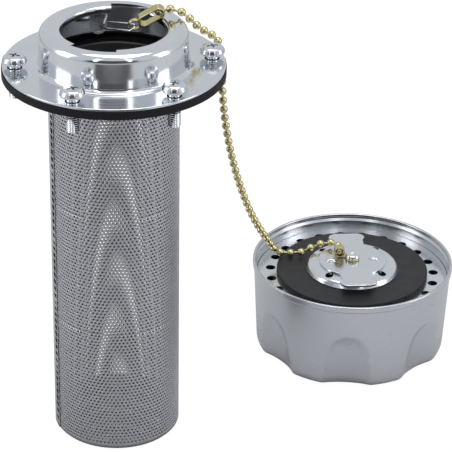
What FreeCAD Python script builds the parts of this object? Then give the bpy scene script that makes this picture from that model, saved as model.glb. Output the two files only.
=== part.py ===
import FreeCAD, Part
import math
import os
import Sketcher
from FreeCAD import Placement, Rotation, Vector

doc = FreeCAD.newDocument("filler_breather")

# Sizes in millimetres and degrees. The tank stands for the surface that the
# lower gasket lies on, at height nought, and heights grow away from the tank.
sizes = doc.addObject("Spreadsheet::Sheet", "size")
VALUES = {
    # pressed neck with its bolting plate
    "sheet_thick": 1.0,
    "plate_radius": 41.2,
    "neck_radius": 27.5,
    "neck_height": 14.3,
    "neck_foot_round": 2.0,
    "neck_shoulder_round": 3.0,
    "mouth_radius": 19.5,
    "mouth_dish": 0.4,
    "lip_depth": 2.7,
    "notch_radius": 22.7,
    "notch_span": 46,
    "notch_turn": 72.5,
    "ear_turn": 109.4,
    "ear_half_width": 3.2,
    "ear_reach": 4.7,
    "ear_hole_radius": 2.0,
    # screws
    "screw_circle_radius": 36.5,
    "screw_turn": 9,
    "screw_shank_radius": 2.5,
    "screw_length": 14,
    "screw_waist": 0.15,
    "screw_head_radius": 4.7,
    "screw_head_height": 3.1,
    "screw_stand_off": 2.0,
    "screw_slot_width": 1.2,
    "screw_slot_depth": 1.3,
    "screw_hole_play": 0.3,
    # gaskets
    "gasket_radius": 41.5,
    "gasket_bore_radius": 25.0,
    "tank_gasket_thick": 1.8,
    "upper_gasket_thick": 1.2,
    # strainer
    "strainer_radius": 24.3,
    "strainer_length": 150,
    "strainer_sheet": 0.45,
    "seam_turn": -172,
    "seam_span": 19,
    "collar_radius": 33,
    "collar_thick": 0.5,
    "collar_depth": 6.8,
    "foot_depth": 5,
    "foot_round": 1.2,
    "strainer_hole_radius": 1.9,
    "strainer_hole_turn": -139,
    "strainer_hole_step": 25,
    "strainer_first_row": 12.5,
    "strainer_row_step": 20.5,
    "foot_hole_step": 8.6,
    # cap, standing upside down beside the strainer
    "cap_x": 94.7,
    "cap_y": 60.7,
    "cap_height": 40.1,
    "cap_rim_radius": 41.25,
    "cap_hem_depth": 2.4,
    "cap_skirt_radius": 40.7,
    "cap_crown_radius": 38.8,
    "cap_crown_round": 5.0,
    "flute_turn": -94,
    "flute_depth": 3.2,
    "flute_height": 24,
    "flute_radius": 43.6,
    "vent_recess": 6.5,
    "vent_hole_radius": 1.7,
    "vent_circle_radius": 33.9,
    "vent_turn": 2,
    "seal_radius": 31.2,
    "seal_bore_radius": 18.6,
    "seal_thick": 2.2,
    "filter_radius": 33,
    "filter_bore_radius": 20,
    "dome_radius": 19.3,
    "dome_flat_radius": 12.6,
    "dome_round": 6.0,
    "dome_hole_radius": 1.7,
    "dome_hole_circle": 15.4,
    "dome_hole_turn": 50,
    "lug_turn": 95,
    "lug_disc_radius": 13.9,
    "lug_waist": 6.5,
    "lug_tip_half_width": 7.7,
    "lug_reach": 22.4,
    "rivet_radius": 2.0,
    "rivet_head_radius": 2.9,
    "rivet_head_height": 1.6,
    "side_rivet_radius": 1.5,
    "side_rivet_head_radius": 2.3,
    "side_rivet_head_height": 0.9,
    "side_rivet_reach": 8.9,
    "side_rivet_turn": 6,
    # chain and its fittings
    "wire_radius": 0.45,
    "wire_bend_radius": 1.55,
    "bead_radius": 1.6,
    "bead_step": 4.5,
    "pin_radius": 0.45,
    "strip_thick": 0.6,
    "strip_width": 3.2,
    "eye_radius": 2.5,
    "eye_width": 1.6,
    "loop_run": 6.0,
    "coupling_turn": 33.8,
    "coupling_reach": 9.6,
    "coupling_play": 0.17,
    "socket_radius": 2.2,
    "socket_length": 3.6,
    "socket_start": 0.3,
    "swivel_play": 0.3,
}
for row, (name, number) in enumerate(VALUES.items(), 1):
    sizes.set("A%d" % row, name)
    sizes.set("B%d" % row, str(number))
    sizes.setAlias("B%d" % row, name)
doc.recompute()

# Counts that fix how many features a piece has
SCREWS = 6
FLUTES = 7
VENT_HOLES = 23
HOLE_COLUMNS = 12
HOLE_ROWS = 7

# Heights that several pieces share, each built from the sizes
PLATE_SEAT = "(size.tank_gasket_thick+size.upper_gasket_thick)"
PLATE_TOP = "(%s+size.sheet_thick)" % PLATE_SEAT
NECK_TOP = "(%s+size.neck_height)" % PLATE_TOP
LIP_TOP = "(%s-size.mouth_dish)" % NECK_TOP
LIP_FOOT = "(%s-size.lip_depth)" % LIP_TOP
FLOOR = "(-size.strainer_length)"
VENT_TOP = "(size.cap_height-size.vent_recess)"
VENT_FOOT = "(%s-size.sheet_thick)" % VENT_TOP
SEAL_TOP = "(%s+size.seal_thick)" % VENT_TOP
LUG_FOOT = "(size.cap_height-size.sheet_thick)"
STRAINER_BORE = "(size.strainer_radius-size.strainer_sheet)"


def value(text):
    """The number that an expression over the sheet gives."""
    return float(sizes.evalExpression(text))


def new_body(name):
    """An empty body with its own label."""
    body = doc.addObject("PartDesign::Body", name)
    body.Label = name
    return body


def in_cap(body):
    """Moves a body to the cap's centre on the floor."""
    body.setExpression("Placement.Base.x", "size.cap_x")
    body.setExpression("Placement.Base.y", "size.cap_y")
    body.setExpression("Placement.Base.z", FLOOR)


def new_sketch(body, name, role, turn=None, lift=None):
    """A sketch on one of the body's own planes, turned about the vertical or lifted off it."""
    sketch = body.newObject("Sketcher::SketchObject", name)
    base = next(o for o in body.Origin.OriginFeatures if o.Role == role)
    sketch.AttachmentSupport = [(base, "")]
    sketch.MapMode = "FlatFace"
    if turn is not None:
        sketch.AttachmentOffset = Placement(Vector(), Rotation(Vector(0, 1, 0), value(turn)))
        sketch.setExpression("AttachmentOffset.Rotation.Angle", turn)
    if lift is not None:
        sketch.setExpression("AttachmentOffset.Base.z", lift)
    return sketch


def pin_down(sketch, geometry, point, x, y):
    """Ties one point of a sketch to two expressions."""
    for kind, text in (("DistanceX", x), ("DistanceY", y)):
        rule = Sketcher.Constraint(kind, -1, 1, geometry, point, value(text))
        sketch.setExpression("Constraints[%d]" % sketch.addConstraint(rule), text)


def draw_outline(sketch, corners):
    """A closed outline through the corners."""
    at = [Vector(value(x), value(y), 0) for x, y in corners]
    first = sketch.GeometryCount
    for i in range(len(at)):
        sketch.addGeometry(Part.LineSegment(at[i], at[(i + 1) % len(at)]), False)
    for i in range(len(at)):
        after = first + (i + 1) % len(at)
        sketch.addConstraint(Sketcher.Constraint("Coincident", first + i, 2, after, 1))
    for i, (x, y) in enumerate(corners):
        pin_down(sketch, first + i, 1, x, y)


def draw_circle(sketch, x, y, radius):
    """A circle held at a point and radius."""
    circle = Part.Circle(Vector(value(x), value(y), 0), Vector(0, 0, 1), value(radius))
    geometry = sketch.addGeometry(circle, False)
    pin_down(sketch, geometry, 3, x, y)
    rule = Sketcher.Constraint("Radius", geometry, value(radius))
    sketch.setExpression("Constraints[%d]" % sketch.addConstraint(rule), radius)


def turned(body, name, corners, angle="360", turn=None, kind="Revolution"):
    """Turns an outline of (distance from the axis, height) corners about the vertical."""
    sketch = new_sketch(body, name + "_outline", "XZ_Plane", turn)
    draw_outline(sketch, corners)
    feature = body.newObject("PartDesign::" + kind, name)
    feature.Profile = sketch
    feature.ReferenceAxis = (sketch, ["V_Axis"])
    feature.setExpression("Angle", angle)
    sketch.Visibility = False
    doc.recompute()
    return feature


def cut_down(body, name, sketch):
    """Cuts a sketch right through everything below it."""
    pocket = body.newObject("PartDesign::Pocket", name)
    pocket.Profile = sketch
    pocket.Type = "ThroughAll"
    sketch.Visibility = False
    doc.recompute()
    return pocket


def repeated(body, name, feature, axis, count, angle="360"):
    """Repeats a feature round an axis."""
    pattern = body.newObject("PartDesign::PolarPattern", name)
    pattern.Originals = [feature]
    pattern.Axis = axis
    pattern.setExpression("Angle", angle)
    pattern.Occurrences = count
    body.Tip = pattern
    doc.recompute()
    return pattern


def rings(body, places):
    """The names of the round edges at the given radii and heights."""
    found = []
    for radius, height in places:
        for i, edge in enumerate(body.Tip.Shape.Edges, 1):
            if not isinstance(edge.Curve, Part.Circle):
                continue
            flat = abs(abs(edge.Curve.Axis.z) - 1) < 1e-6 and edge.Curve.Center.Length < 1e9
            near = math.hypot(edge.Curve.Center.x, edge.Curve.Center.y) < 1e-4
            same = abs(edge.Curve.Radius - value(radius)) < 1e-4
            level = abs(edge.Curve.Center.z - value(height)) < 1e-4
            if flat and near and same and level:
                found.append("Edge%d" % i)
    return found


def rounded(body, name, radius, places, kind="Fillet"):
    """Rounds or chamfers the round edges at the given radii and heights."""
    before = body.Tip
    edges = rings(body, places)
    feature = body.newObject("PartDesign::" + kind, name)
    feature.Base = (before, edges)
    feature.setExpression("Radius" if kind == "Fillet" else "Size", radius)
    body.Tip = feature
    doc.recompute()
    return feature


# Neck: one pressing with a flat bolting plate, an upright neck, a rounded
# shoulder, a slightly dished top ring and a lip turned down into the mouth
neck = new_body("neck_flange")
turned(neck, "pressing", [
    ("size.plate_radius", PLATE_SEAT),
    ("size.plate_radius", PLATE_TOP),
    ("size.neck_radius", PLATE_TOP),
    ("size.neck_radius", NECK_TOP),
    ("size.mouth_radius", LIP_TOP),
    ("size.mouth_radius", LIP_FOOT),
    ("size.mouth_radius+size.sheet_thick", LIP_FOOT),
    ("size.mouth_radius+size.sheet_thick", LIP_TOP + "-size.sheet_thick"),
    ("size.neck_radius-size.sheet_thick", NECK_TOP + "-size.sheet_thick"),
    ("size.neck_radius-size.sheet_thick", PLATE_SEAT),
])
rounded(neck, "foot_bend_outside", "size.neck_foot_round", [("size.neck_radius", PLATE_TOP)])
rounded(neck, "foot_bend_inside", "size.neck_foot_round+size.sheet_thick",
        [("size.neck_radius-size.sheet_thick", PLATE_SEAT)])
rounded(neck, "shoulder_bend_outside", "size.neck_shoulder_round", [("size.neck_radius", NECK_TOP)])
rounded(neck, "shoulder_bend_inside", "size.neck_shoulder_round-size.sheet_thick",
        [("size.neck_radius-size.sheet_thick", NECK_TOP + "-size.sheet_thick")])
rounded(neck, "lip_bend", "1.3*size.sheet_thick", [("size.mouth_radius", LIP_TOP)])
# two notches in the top ring let the cap's lugs through
notch = turned(neck, "notch", [
    ("size.mouth_radius-size.sheet_thick", LIP_FOOT + "-size.sheet_thick"),
    ("size.notch_radius", LIP_FOOT + "-size.sheet_thick"),
    ("size.notch_radius", NECK_TOP + "+size.sheet_thick"),
    ("size.mouth_radius-size.sheet_thick", NECK_TOP + "+size.sheet_thick"),
], "size.notch_span", "size.notch_turn-size.notch_span/2", "Groove")
repeated(neck, "notches", notch, (notch.Profile[0], ["V_Axis"]), 2)
# an ear hangs from the lip, with a round end and a hole for the wire link
EAR_HOLE = "(%s-size.ear_reach)" % LIP_FOOT
ear_sketch = new_sketch(neck, "ear_outline", "XZ_Plane", "size.ear_turn+90")
ear_sketch.setExpression("AttachmentOffset.Base.x", "size.mouth_radius*cos(size.ear_turn)")
ear_sketch.setExpression("AttachmentOffset.Base.z", "-size.mouth_radius*sin(size.ear_turn)")
EAR_TOP = LIP_TOP + "-size.sheet_thick/2"
draw_outline(ear_sketch, [
    ("-size.ear_half_width", EAR_TOP),
    ("-size.ear_half_width", EAR_HOLE + "-size.ear_half_width"),
    ("size.ear_half_width", EAR_HOLE + "-size.ear_half_width"),
    ("size.ear_half_width", EAR_TOP),
])
draw_circle(ear_sketch, "0", EAR_HOLE, "size.ear_hole_radius")
ear = neck.newObject("PartDesign::Pad", "ear")
ear.Profile = ear_sketch
ear.setExpression("Length", "size.sheet_thick")
doc.recompute()
low = value(EAR_HOLE + "-size.ear_half_width")
corners = []
for i, edge in enumerate(neck.Tip.Shape.Edges, 1):
    ends = [v.Point for v in edge.Vertexes]
    if len(ends) == 2 and all(abs(p.z - low) < 1e-4 for p in ends):
        if abs(edge.Length - value("size.sheet_thick")) < 1e-4:
            corners.append("Edge%d" % i)
ear_round = neck.newObject("PartDesign::Fillet", "ear_round")
ear_round.Base = (ear, corners)
ear_round.setExpression("Radius", "size.ear_half_width*0.99")
neck.Tip = ear_round
doc.recompute()
# holes for the screws
SCREW_X = "size.screw_circle_radius*cos(size.screw_turn)"
SCREW_Y = "size.screw_circle_radius*sin(size.screw_turn)"


def screw_holes(body, radius, top):
    """Screw holes through a flat piece, cut from above."""
    sketch = new_sketch(body, "screw_hole_outline", "XY_Plane", lift=top + "+size.sheet_thick")
    draw_circle(sketch, SCREW_X, SCREW_Y, radius)
    hole = cut_down(body, "screw_hole", sketch)
    repeated(body, "screw_holes", hole, (sketch, ["N_Axis"]), SCREWS)


screw_holes(neck, "size.screw_shank_radius+size.screw_hole_play", PLATE_TOP)

# Upper gasket: rubber ring under the plate, hollowed below for the strainer's collar
upper = new_body("upper_gasket")
turned(upper, "ring", [
    ("size.gasket_bore_radius-size.strainer_sheet", "size.tank_gasket_thick+size.collar_thick"),
    ("size.collar_radius", "size.tank_gasket_thick+size.collar_thick"),
    ("size.collar_radius", "size.tank_gasket_thick"),
    ("size.gasket_radius", "size.tank_gasket_thick"),
    ("size.gasket_radius", PLATE_SEAT),
    ("size.gasket_bore_radius-size.strainer_sheet", PLATE_SEAT),
])
screw_holes(upper, "size.screw_shank_radius", PLATE_TOP)

# Tank gasket: rubber ring that lies on the tank
lower = new_body("tank_gasket")
turned(lower, "ring", [
    ("size.gasket_bore_radius", "0"),
    ("size.gasket_radius", "0"),
    ("size.gasket_radius", "size.tank_gasket_thick"),
    ("size.gasket_bore_radius", "size.tank_gasket_thick"),
])
screw_holes(lower, "size.screw_shank_radius", PLATE_TOP)

# Collar: flat ring clamped between the gaskets, with a sleeve that holds the strainer
collar = new_body("strainer_collar")
turned(collar, "pressing", [
    (STRAINER_BORE + "-size.collar_thick", "size.tank_gasket_thick+size.collar_thick-size.collar_depth"),
    (STRAINER_BORE, "size.tank_gasket_thick+size.collar_thick-size.collar_depth"),
    (STRAINER_BORE, "size.tank_gasket_thick"),
    ("size.collar_radius", "size.tank_gasket_thick"),
    ("size.collar_radius", "size.tank_gasket_thick+size.collar_thick"),
    (STRAINER_BORE + "-size.collar_thick", "size.tank_gasket_thick+size.collar_thick"),
])
rounded(collar, "collar_bend_outside", "size.collar_thick*1.6",
        [(STRAINER_BORE + "-size.collar_thick", "size.tank_gasket_thick+size.collar_thick")])
rounded(collar, "collar_bend_inside", "size.collar_thick*0.6", [(STRAINER_BORE, "size.tank_gasket_thick")])

# Strainer wall: rolled sheet with its ends lapped, and staggered rows of holes.
# The real sheet has thousands of fine holes, of which the wall keeps a coarse pattern.
wall = new_body("strainer_wall")
WALL_FOOT = "(-size.strainer_length+size.foot_round)"
WALL_TOP = "(size.tank_gasket_thick/2)"
turned(wall, "rolled_sheet", [
    (STRAINER_BORE, WALL_FOOT),
    ("size.strainer_radius", WALL_FOOT),
    ("size.strainer_radius", WALL_TOP),
    (STRAINER_BORE, WALL_TOP),
])
turned(wall, "lap", [
    ("size.strainer_radius-size.strainer_sheet/2", WALL_FOOT),
    ("size.strainer_radius+size.strainer_sheet", WALL_FOOT),
    ("size.strainer_radius+size.strainer_sheet", WALL_TOP),
    ("size.strainer_radius-size.strainer_sheet/2", WALL_TOP),
], "size.seam_span", "size.seam_turn")
for k, name in enumerate(("even", "odd")):
    turn = "size.strainer_hole_turn+90" + ("+size.strainer_hole_step" if k else "")
    first = "size.strainer_first_row-size.strainer_length" + ("+size.strainer_row_step/2" if k else "")
    sketch = new_sketch(wall, name + "_hole_outline", "XZ_Plane", turn)
    draw_circle(sketch, "0*size.sheet_thick", first, "size.strainer_hole_radius")
    hole = wall.newObject("PartDesign::Pocket", name + "_hole")
    hole.Profile = sketch
    hole.Reversed = True
    hole.setExpression("Length", "size.strainer_radius*1.1")
    grid = wall.newObject("PartDesign::MultiTransform", name + "_holes")
    grid.Originals = [hole]
    rows = wall.newObject("PartDesign::LinearPattern", name + "_rows")
    rows.Direction = (sketch, ["V_Axis"])
    rows.setExpression("Length", "size.strainer_row_step*%d" % (HOLE_ROWS - 1))
    rows.Occurrences = HOLE_ROWS
    columns = wall.newObject("PartDesign::PolarPattern", name + "_columns")
    columns.Axis = (sketch, ["V_Axis"])
    columns.setExpression("Angle", "size.strainer_hole_step*%d" % (HOLE_COLUMNS - 2))
    columns.Occurrences = HOLE_COLUMNS // 2
    grid.Transformations = [rows, columns]
    wall.Tip = grid
    sketch.Visibility = False
    doc.recompute()

# Strainer foot: perforated cup pressed into the wall's lower end
foot = new_body("strainer_bottom")
turned(foot, "cup", [
    ("0", FLOOR),
    (STRAINER_BORE, FLOOR),
    (STRAINER_BORE, FLOOR + "+size.foot_depth"),
    (STRAINER_BORE + "-size.strainer_sheet", FLOOR + "+size.foot_depth"),
    (STRAINER_BORE + "-size.strainer_sheet", FLOOR + "+size.strainer_sheet"),
    ("0", FLOOR + "+size.strainer_sheet"),
])
rounded(foot, "cup_bend_outside", "size.foot_round", [(STRAINER_BORE, FLOOR)])
rounded(foot, "cup_bend_inside", "size.foot_round-size.strainer_sheet",
        [(STRAINER_BORE + "-size.strainer_sheet", FLOOR + "+size.strainer_sheet")])
sketch = new_sketch(foot, "foot_hole_outline", "XY_Plane", lift=FLOOR + "+size.foot_depth")
middles = [("0*size.foot_hole_step", "0*size.foot_hole_step")]
for ring in (1, 2):
    for step in range(6 * ring):
        side = step // ring
        along = (step % ring) / ring
        ax, ay = math.cos(math.radians(60 * side)), math.sin(math.radians(60 * side))
        bx, by = math.cos(math.radians(60 * side + 60)), math.sin(math.radians(60 * side + 60))
        x, y = ax + (bx - ax) * along, ay + (by - ay) * along
        middles.append(("size.foot_hole_step*%.6f" % (ring * x), "size.foot_hole_step*%.6f" % (ring * y)))
for x, y in middles:
    draw_circle(sketch, x, y, "size.strainer_hole_radius")
cut_down(foot, "foot_holes", sketch)

# Screws: pan heads with a crossed slot, standing a little proud of the plate
SCREW_SEAT = "(%s+size.screw_stand_off)" % PLATE_TOP
for k in range(SCREWS):
    screw = new_body("screw_%d" % (k + 1))
    turned(screw, "screw", [
        ("0", "-size.screw_length"),
        ("size.screw_shank_radius", "-size.screw_length"),
        ("size.screw_shank_radius", "-" + SCREW_SEAT),
        ("size.screw_shank_radius-size.screw_waist", "-" + SCREW_SEAT),
        ("size.screw_shank_radius-size.screw_waist", "0"),
        ("size.screw_head_radius", "0"),
        ("size.screw_head_radius", "size.screw_head_height"),
        ("0", "size.screw_head_height"),
    ])
    rounded(screw, "head_round", "size.screw_head_height*0.6", [("size.screw_head_radius", "size.screw_head_height")])
    rounded(screw, "tip_chamfer", "size.screw_shank_radius*0.2",
            [("size.screw_shank_radius", "-size.screw_length")], "Chamfer")
    for name, x, y in (("slot", "size.screw_head_radius*1.1", "size.screw_slot_width/2"),
                       ("cross", "size.screw_slot_width/2", "size.screw_head_radius*0.55")):
        sketch = new_sketch(screw, name + "_outline", "XY_Plane", lift="size.screw_head_height*2")
        draw_outline(sketch, [("-" + x, "-" + y), (x, "-" + y), (x, y), ("-" + x, y)])
        slot = screw.newObject("PartDesign::Pocket", name)
        slot.Profile = sketch
        slot.setExpression("Length", "size.screw_head_height+size.screw_slot_depth")
        sketch.Visibility = False
    turn = "(size.screw_turn+%d)" % (k * 360 // SCREWS)
    screw.setExpression("Placement.Base.x", "size.screw_circle_radius*cos(%s)" % turn)
    screw.setExpression("Placement.Base.y", "size.screw_circle_radius*sin(%s)" % turn)
    screw.setExpression("Placement.Base.z", SCREW_SEAT)
    doc.recompute()

# Cap shell: a drawn cup with a rounded crown, a rolled hem and seven hollows down
# its side. The outer form less the inner form leaves a wall of even thickness.
RIM_INNER = "(size.cap_skirt_radius-size.sheet_thick)"


def cap_form(name, inset, top):
    """The cup's turned form, set in by a distance, with its seven side hollows."""
    body = new_body(name)
    in_cap(body)
    turned(body, "cup", [
        ("0", inset),
        ("size.cap_crown_radius-" + inset, inset),
        ("size.cap_skirt_radius-" + inset, "size.cap_height-size.cap_hem_depth"),
        ("size.cap_skirt_radius-" + inset, top),
        ("0", top),
    ])
    rounded(body, "crown_round", "size.cap_crown_round-" + inset, [("size.cap_crown_radius-" + inset, inset)])
    flute = body.newObject("PartDesign::SubtractiveCylinder", "flute")
    flute.setExpression("Radius", "size.flute_radius+" + inset)
    flute.setExpression("Height", "4*size.cap_height")
    base = next(o for o in body.Origin.OriginFeatures if o.Role == "XY_Plane")
    flute.AttachmentSupport = [(base, "")]
    flute.MapMode = "FlatFace"
    lean = math.degrees(math.atan2(value("size.cap_skirt_radius-size.cap_crown_radius+size.flute_depth"),
                                   value("size.flute_height")))
    facing = Rotation(Vector(0, 0, 1), value("size.flute_turn"))
    tilt = Rotation(Vector(0, 1, 0), lean)
    away = value("size.cap_crown_radius-size.flute_depth") + value("size.flute_radius") / math.cos(math.radians(lean))
    start = facing.multVec(Vector(away, 0, 0)) - (facing * tilt).multVec(Vector(0, 0, value("2*size.cap_height")))
    flute.AttachmentOffset = Placement(start, facing * tilt)
    doc.recompute()
    axis = next(o for o in body.Origin.OriginFeatures if o.Role == "Z_Axis")
    repeated(body, "flutes", flute, (axis, [""]), FLUTES)
    return body


cap_outside = cap_form("cap_outside", "0*size.sheet_thick", "size.cap_height")
cap_inside = cap_form("cap_inside", "size.sheet_thick", "size.cap_height*1.1")
hem = new_body("cap_hem")
in_cap(hem)
turned(hem, "hem", [
    (RIM_INNER + "+size.sheet_thick/2", "size.cap_height-size.cap_hem_depth"),
    ("size.cap_rim_radius", "size.cap_height-size.cap_hem_depth"),
    ("size.cap_rim_radius", "size.cap_height"),
    (RIM_INNER + "+size.sheet_thick/2", "size.cap_height"),
])
cap_hemmed = doc.addObject("Part::Fuse", "cap_hemmed")
cap_hemmed.Base = cap_outside
cap_hemmed.Tool = hem
cap_shell = doc.addObject("Part::Cut", "cap_shell")
cap_shell.Base = cap_hemmed
cap_shell.Tool = cap_inside
doc.recompute()

# Vent plate: disc across the cap with a circle of breathing holes. Its lower edge
# meets the cap's tapered wall.
VENT_RADIUS = ("(size.cap_crown_radius-size.sheet_thick+(size.cap_skirt_radius-size.cap_crown_radius)*(%s-size.sheet_thick)"
               "/(size.cap_height-size.cap_hem_depth-size.sheet_thick))" % VENT_FOOT)
vent = new_body("vent_plate")
in_cap(vent)
turned(vent, "disc", [
    ("size.rivet_radius", VENT_FOOT),
    (VENT_RADIUS, VENT_FOOT),
    (VENT_RADIUS, VENT_TOP),
    ("size.rivet_radius", VENT_TOP),
])
sketch = new_sketch(vent, "vent_hole_outline", "XY_Plane", lift="size.cap_height")
draw_circle(sketch, "size.vent_circle_radius*cos(size.vent_turn)", "size.vent_circle_radius*sin(size.vent_turn)",
            "size.vent_hole_radius")
hole = cut_down(vent, "vent_hole", sketch)
repeated(vent, "vent_holes", hole, (sketch, ["N_Axis"]), VENT_HOLES)

# Breather filter: ring of filter foam between the crown and the vent plate
foam = new_body("breather_filter")
in_cap(foam)
turned(foam, "ring", [
    ("size.filter_bore_radius", "size.sheet_thick"),
    ("size.filter_radius", "size.sheet_thick"),
    ("size.filter_radius", VENT_FOOT),
    ("size.filter_bore_radius", VENT_FOOT),
])

# Cap seal: flat rubber ring on the vent plate
seal = new_body("cap_rubber_ring")
in_cap(seal)
turned(seal, "ring", [
    ("size.seal_bore_radius", VENT_TOP),
    ("size.seal_radius", VENT_TOP),
    ("size.seal_radius", SEAL_TOP),
    ("size.seal_bore_radius", SEAL_TOP),
])

# Dome retainer: pressed dome that stands on the rubber ring and carries the lugs
dome = new_body("dome_retainer")
in_cap(dome)
turned(dome, "dome", [
    ("size.dome_radius-size.sheet_thick*1.5", SEAL_TOP),
    ("size.dome_radius", SEAL_TOP),
    ("size.dome_flat_radius", LUG_FOOT),
    ("size.rivet_radius", LUG_FOOT),
    ("size.rivet_radius", LUG_FOOT + "-size.sheet_thick"),
    ("size.dome_flat_radius-size.sheet_thick*0.4", LUG_FOOT + "-size.sheet_thick"),
])
rounded(dome, "dome_bend_outside", "size.dome_round", [("size.dome_flat_radius", LUG_FOOT)])
rounded(dome, "dome_bend_inside", "size.dome_round-size.sheet_thick",
        [("size.dome_flat_radius-size.sheet_thick*0.4", LUG_FOOT + "-size.sheet_thick")])
sketch = new_sketch(dome, "dome_hole_outline", "XY_Plane", lift="size.cap_height")
draw_circle(sketch, "size.dome_hole_circle*cos(size.dome_hole_turn)",
            "size.dome_hole_circle*sin(size.dome_hole_turn)", "size.dome_hole_radius")
hole = cut_down(dome, "dome_hole", sketch)
repeated(dome, "dome_holes", hole, (sketch, ["N_Axis"]), 4)

# Lug plate: round plate with two hammer-headed lugs that lock under the neck's ring
lugs = new_body("lug_plate")
in_cap(lugs)
sketch = new_sketch(lugs, "disc_outline", "XY_Plane", lift=LUG_FOOT)
draw_circle(sketch, "0*size.sheet_thick", "0*size.sheet_thick", "size.lug_disc_radius")
draw_circle(sketch, "0*size.sheet_thick", "0*size.sheet_thick", "size.rivet_radius")
disc = lugs.newObject("PartDesign::Pad", "disc")
disc.Profile = sketch
disc.setExpression("Length", "size.sheet_thick")
sketch = new_sketch(lugs, "lug_outline", "XY_Plane", lift=LUG_FOOT)
sketch.setExpression("AttachmentOffset.Rotation.Angle", "size.lug_turn")
draw_outline(sketch, [
    ("size.lug_disc_radius*0.6", "-size.lug_waist"),
    ("size.lug_disc_radius*1.2", "-size.lug_waist"),
    ("size.lug_reach*0.86", "-size.lug_tip_half_width"),
    ("size.lug_reach*0.95", "-size.lug_tip_half_width*0.9"),
    ("size.lug_reach", "-size.lug_tip_half_width*0.6"),
    ("size.lug_reach", "size.lug_tip_half_width*0.6"),
    ("size.lug_reach*0.95", "size.lug_tip_half_width*0.9"),
    ("size.lug_reach*0.86", "size.lug_tip_half_width"),
    ("size.lug_disc_radius*1.2", "size.lug_waist"),
    ("size.lug_disc_radius*0.6", "size.lug_waist"),
])
lug = lugs.newObject("PartDesign::Pad", "lug")
lug.Profile = sketch
lug.setExpression("Length", "size.sheet_thick")
doc.recompute()
repeated(lugs, "lugs", lug, (sketch, ["N_Axis"]), 2)
sketch = new_sketch(lugs, "side_rivet_hole_outline", "XY_Plane", lift="size.cap_height*1.1")
for side in ("", "-"):
    draw_circle(sketch, side + "size.side_rivet_reach*cos(size.side_rivet_turn)",
                side + "size.side_rivet_reach*sin(size.side_rivet_turn)", "size.side_rivet_radius")
cut_down(lugs, "side_rivet_holes", sketch)
sketch = new_sketch(dome, "side_rivet_hole_outline", "XY_Plane", lift="size.cap_height*1.1")
for side in ("", "-"):
    draw_circle(sketch, side + "size.side_rivet_reach*cos(size.side_rivet_turn)",
                side + "size.side_rivet_reach*sin(size.side_rivet_turn)", "size.side_rivet_radius")
cut_down(dome, "side_rivet_holes", sketch)

# Centre rivet: holds the stack and the chain's end, which can swivel round it
SWIVEL_SEAT = "(size.cap_height+size.swivel_play/2)"
RIVET_HEAD = "(size.cap_height+size.swivel_play+size.strip_thick)"
rivet = new_body("centre_rivet")
in_cap(rivet)
turned(rivet, "rivet", [
    ("0", VENT_TOP + "-size.sheet_thick*2"),
    ("size.rivet_head_radius", VENT_TOP + "-size.sheet_thick*2"),
    ("size.rivet_head_radius", VENT_FOOT),
    ("size.rivet_radius", VENT_FOOT),
    ("size.rivet_radius", RIVET_HEAD),
    ("size.rivet_head_radius", RIVET_HEAD),
    ("size.rivet_head_radius", RIVET_HEAD + "+size.rivet_head_height"),
    ("0", RIVET_HEAD + "+size.rivet_head_height"),
])
rounded(rivet, "head_round", "size.rivet_head_height*0.9",
        [("size.rivet_head_radius", RIVET_HEAD + "+size.rivet_head_height")])

# Side rivets: join the lug plate to the dome
for name, side in (("side_rivet_right", ""), ("side_rivet_left", "-")):
    small = new_body(name)
    turned(small, "rivet", [
        ("0", "-size.sheet_thick*2.7"),
        ("size.side_rivet_radius*1.4", "-size.sheet_thick*2.7"),
        ("size.side_rivet_radius*1.4", "-size.sheet_thick*2"),
        ("size.side_rivet_radius", "-size.sheet_thick*2"),
        ("size.side_rivet_radius", "0"),
        ("size.side_rivet_head_radius", "0"),
        ("size.side_rivet_head_radius", "size.side_rivet_head_height"),
        ("0", "size.side_rivet_head_height"),
    ])
    rounded(small, "head_round", "size.side_rivet_head_height*0.8",
            [("size.side_rivet_head_radius", "size.side_rivet_head_height")])
    small.setExpression("Placement.Base.x", "size.cap_x" + (side or "+") +
                        "size.side_rivet_reach*cos(size.side_rivet_turn)")
    small.setExpression("Placement.Base.y", "size.cap_y" + (side or "+") +
                        "size.side_rivet_reach*sin(size.side_rivet_turn)")
    small.setExpression("Placement.Base.z", FLOOR + "+size.cap_height")
doc.recompute()

# The lie of the link and the coupling. The coupling rests on the lip's bend, and the
# link runs to it from the ear's edge beside the hole.
coupling_along = Vector(10.8, -0.6, 6.8)
coupling_along.normalize()
coupling_side = Vector(0, 0.93, 0.37).cross(coupling_along)
coupling_side.normalize()
coupling_across = coupling_along.cross(coupling_side)
bend = value("1.3*size.sheet_thick")
LIP_BEND = Vector((value("size.mouth_radius") + bend) * value("cos(size.coupling_turn)"),
                  (value("size.mouth_radius") + bend) * value("sin(size.coupling_turn)"),
                  value(LIP_TOP) - bend)
COUPLING_EYE = LIP_BEND - coupling_along * value("size.coupling_reach")
COUPLING_EYE = COUPLING_EYE - coupling_side * (bend + value("size.eye_radius+size.coupling_play"))
strip_in_link = COUPLING_EYE - coupling_along * value("size.eye_radius-size.strip_thick/2")
ear_x = "((size.ear_hole_radius+size.ear_half_width)/2-size.wire_radius/3)"
EAR_REST = Vector(
    value("(size.mouth_radius+size.sheet_thick/2)*cos(size.ear_turn)+%s*sin(size.ear_turn)" % ear_x),
    value("(size.mouth_radius+size.sheet_thick/2)*sin(size.ear_turn)-%s*cos(size.ear_turn)" % ear_x),
    value(EAR_HOLE + "+size.wire_radius/3"))
link_along = strip_in_link - EAR_REST
wire_run = link_along.Length + value("size.wire_bend_radius*0.75")
link_along.normalize()
link_up = link_along.cross(coupling_across)
link_up.normalize()
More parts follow.
